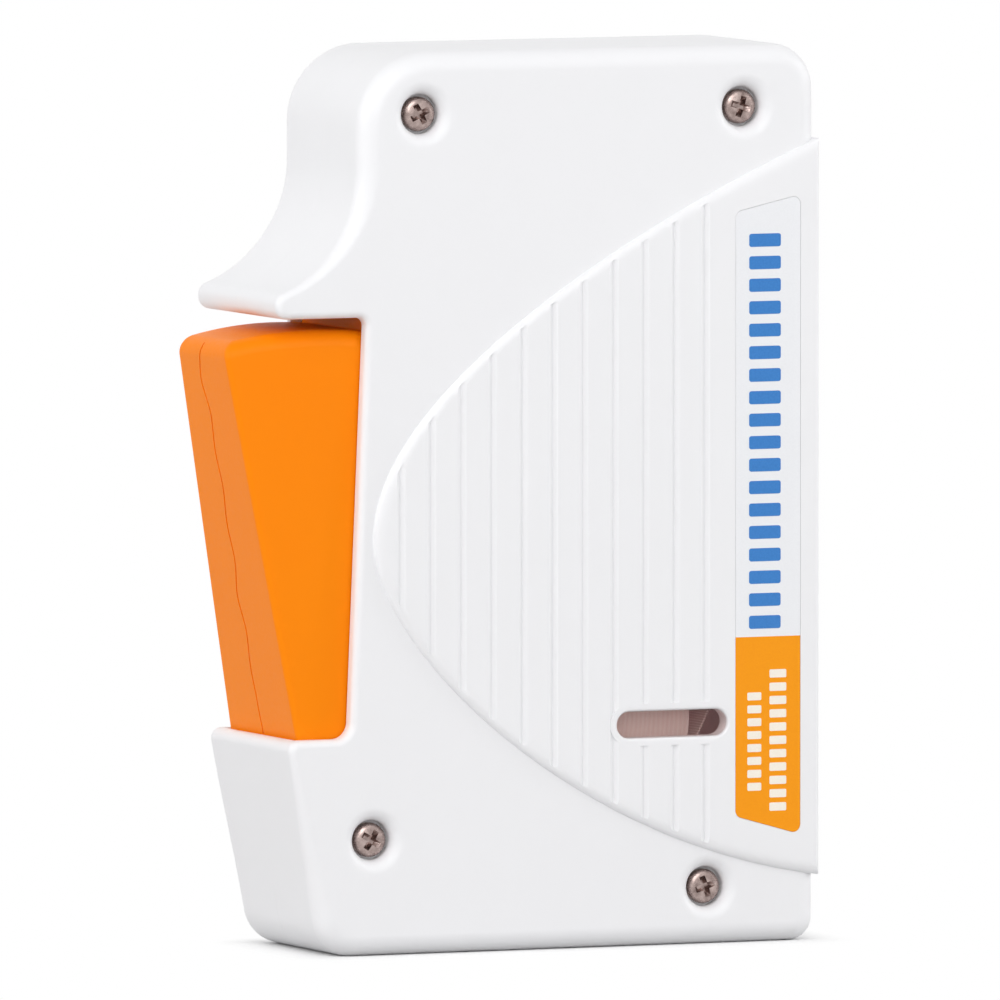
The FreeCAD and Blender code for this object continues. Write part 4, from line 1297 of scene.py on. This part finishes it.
@dataclass
class Studio:
    """Pale floor, white surroundings, a key light with four fills, and the camera."""

    floor_half: float = 3000.0
    footprint: tuple[tuple[float, float, float], ...] = ((-29.0, -13.0, 0.0), (43.0, 13.0, 0.0))
    shadow_reach: float = 9.0
    floor_bounce: str = "#CBCBCB"
    paper_tone: str = "#FCFCFC"
    horizon_strength: float = 0.82
    overhead_strength: float = 0.36
    # Each lamp: azimuth, elevation, distance, size and power
    lamps: tuple[Lamp, ...] = (
        Lamp("key", -36.0, 42.0, 1300.0, 700.0, 2.7),
        Lamp("left_fill", -80.0, 22.0, 1300.0, 700.0, 4.3),
        Lamp("right_fill", 75.0, 15.0, 1300.0, 700.0, 4.6),
        Lamp("front_fill", -12.0, 26.0, 1300.0, 700.0, 3.7),
        Lamp("back_fill", 165.0, 12.0, 1300.0, 700.0, 3.2, mirrored=False),
    )
    view_azimuth_deg: float = -23.5
    view_elevation_deg: float = 4.0
    view_distance: float = 4000.0
    view_target: tuple[float, float, float] = (1.6, 0.0, 64.1)
    view_width: float = 144.4
    view_end: float = 20000.0
    sensor_width: float = 36.0

    def seen_white(self, tree: bpy.types.NodeTree) -> bpy.types.NodeSocket:
        """Mask of the rays that see the surroundings as white: from the camera, mirrors and glass.

        Args:
            tree: Tree that the mask goes into.

        Returns:
            Socket that is 1 for those rays and 0 for others.
        """
        rays = add_node(tree, "ShaderNodeLightPath")
        mirror = add_node(tree, "ShaderNodeMath",
                          {0: rays.outputs["Is Camera Ray"], 1: rays.outputs["Is Glossy Ray"]},
                          operation="MAXIMUM")
        glass = add_node(tree, "ShaderNodeMath",
                         {0: mirror.outputs["Value"], 1: rays.outputs["Is Transmission Ray"]},
                         operation="MAXIMUM")
        return glass.outputs["Value"]

    def floor(self) -> None:
        """Floor that takes the shadow close to the cassette's foot and is white further out."""
        half = self.floor_half * MM
        mesh = bpy.data.meshes.new("floor")
        mesh.from_pydata([(-half, -half, 0), (half, -half, 0), (half, half, 0), (-half, half, 0)], [],
                         [(0, 1, 2, 3)])
        material, tree, surface, place = new_material("white_paper_floor")
        low, high = self.footprint
        middle = [(a + b) / 2 * MM for a, b in zip(low, high)]
        half_foot = [(b - a) / 2 * MM for a, b in zip(low, high)]
        centred = add_node(tree, "ShaderNodeVectorMath", {0: place, 1: middle}, operation="SUBTRACT")
        folded = add_node(tree, "ShaderNodeVectorMath", {0: centred.outputs["Vector"]}, operation="ABSOLUTE")
        past = add_node(tree, "ShaderNodeVectorMath", {0: folded.outputs["Vector"], 1: half_foot},
                        operation="SUBTRACT")
        beyond = add_node(tree, "ShaderNodeVectorMath", {0: past.outputs["Vector"], 1: (0.0, 0.0, 0.0)},
                          operation="MAXIMUM")
        reach = add_node(tree, "ShaderNodeVectorMath", {0: beyond.outputs["Vector"]}, operation="LENGTH")
        fade = add_node(tree, "ShaderNodeMapRange",
                        {"Value": reach.outputs["Value"], "From Min": 0.0,
                         "From Max": self.shadow_reach * MM}, interpolation_type="SMOOTHSTEP")
        seen = self.seen_white(tree)
        mask = add_node(tree, "ShaderNodeMath", {0: fade.outputs["Result"], 1: seen}, operation="MULTIPLY")
        tone = add_node(tree, "ShaderNodeMix",
                        {"Factor": seen, "A": linear(self.floor_bounce), "B": linear(self.paper_tone)},
                        data_type="RGBA")
        paper = add_node(tree, "ShaderNodeBsdfDiffuse", {"Color": tone.outputs["Result"]})
        white = add_node(tree, "ShaderNodeEmission", {"Color": linear(WHITE), "Strength": 1.0})
        mixed = add_node(tree, "ShaderNodeMixShader",
                         {"Fac": mask.outputs["Value"], 1: paper.outputs["BSDF"],
                          2: white.outputs["Emission"]})
        tree.links.new(mixed.outputs["Shader"], surface)
        set_finish(link_object("floor", mesh), material)

    def surroundings(self) -> None:
        """World that looks white and lights the cassette more from the sides than from overhead."""
        world = bpy.data.worlds.new("white_room")
        world.use_nodes = True
        tree = world.node_tree
        tree.nodes.clear()
        direction = add_node(tree, "ShaderNodeTexCoord").outputs["Generated"]
        rise = add_node(tree, "ShaderNodeSeparateXYZ", {"Vector": direction})
        light = add_node(tree, "ShaderNodeMapRange",
                         {"Value": rise.outputs["Z"], "To Min": self.horizon_strength,
                          "To Max": self.overhead_strength})
        strength = add_node(tree, "ShaderNodeMapRange",
                            {"Value": self.seen_white(tree), "To Min": light.outputs["Result"],
                             "To Max": 1.0})
        sky = add_node(tree, "ShaderNodeBackground",
                       {"Color": linear(WHITE), "Strength": strength.outputs["Result"]})
        add_node(tree, "ShaderNodeOutputWorld", {"Surface": sky.outputs["Background"]})
        bpy.context.scene.world = world

    def aim(self, thing: bpy.types.Object, azimuth_deg: float, elevation_deg: float, distance: float) -> None:
        """Place a lamp or the camera round the target and point it there.

        Args:
            thing: Lamp or camera.
            azimuth_deg: Angle round from the front, to the right.
            elevation_deg: Angle above the level.
            distance: From the target.
        """
        turn, rise = math.radians(azimuth_deg), math.radians(elevation_deg)
        outward = Vector((math.sin(turn) * math.cos(rise), -math.cos(turn) * math.cos(rise), math.sin(rise)))
        thing.location = (Vector(self.view_target) + outward * distance) * MM
        thing.rotation_euler = (-outward).to_track_quat("-Z", "Y").to_euler()

    def light(self, lamp: Lamp) -> None:
        """Set up one lamp.

        Args:
            lamp: Its place, size and power.
        """
        source = bpy.data.lights.new(lamp.name, "AREA")
        source.shape = "SQUARE"
        source.size = lamp.size * MM
        source.energy = lamp.power
        panel = bpy.data.objects.new(lamp.name, source)
        panel.visible_camera = False
        panel.visible_glossy = lamp.mirrored
        bpy.context.scene.collection.objects.link(panel)
        self.aim(panel, lamp.azimuth_deg, lamp.elevation_deg, lamp.distance)

    def camera(self) -> None:
        """Camera at the photograph's viewing angle."""
        lens = bpy.data.cameras.new("camera")
        lens.sensor_width = self.sensor_width
        lens.lens = self.sensor_width * self.view_distance / self.view_width
        lens.clip_end = self.view_end * MM
        camera = bpy.data.objects.new("camera", lens)
        bpy.context.scene.collection.objects.link(camera)
        self.aim(camera, self.view_azimuth_deg, self.view_elevation_deg, self.view_distance)
        bpy.context.scene.camera = camera

    def build(self) -> None:
        """Set up the floor, the light and the camera."""
        self.floor()
        self.surroundings()
        for lamp in self.lamps:
            self.light(lamp)
        self.camera()
        bpy.context.scene.view_settings.view_transform = "Standard"


def main() -> None:
    """Build every sub-assembly round the CAD frame."""
    logging.basicConfig(level=logging.INFO)
    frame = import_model()
    nodes = frame["nodes"]
    Studio().build()
    CaseShells().build(nodes, WHITE_ABS.build())
    CaseScrews().build(nodes, ZINC_STEEL.build())
    LabelStrip().build(nodes)
    PressLever().build(nodes, ORANGE_ABS.build())
    ReturnSpring().build(nodes, SPRING_WIRE.build())
    WoundRoll("supply_tape", Body.SUPPLY, Slot.FRESH_TAPE, hub_radius=7.0,
              light="#FBEFEA", dark="#F3DED7").build()
    WoundRoll("takeup_tape", Body.TAKEUP, Slot.USED_TAPE, hub_radius=5.5,
              light="#E0D2CC", dark="#B29C94").build()
    InnerParts().build(nodes)


if __name__ == "__main__":
    main()
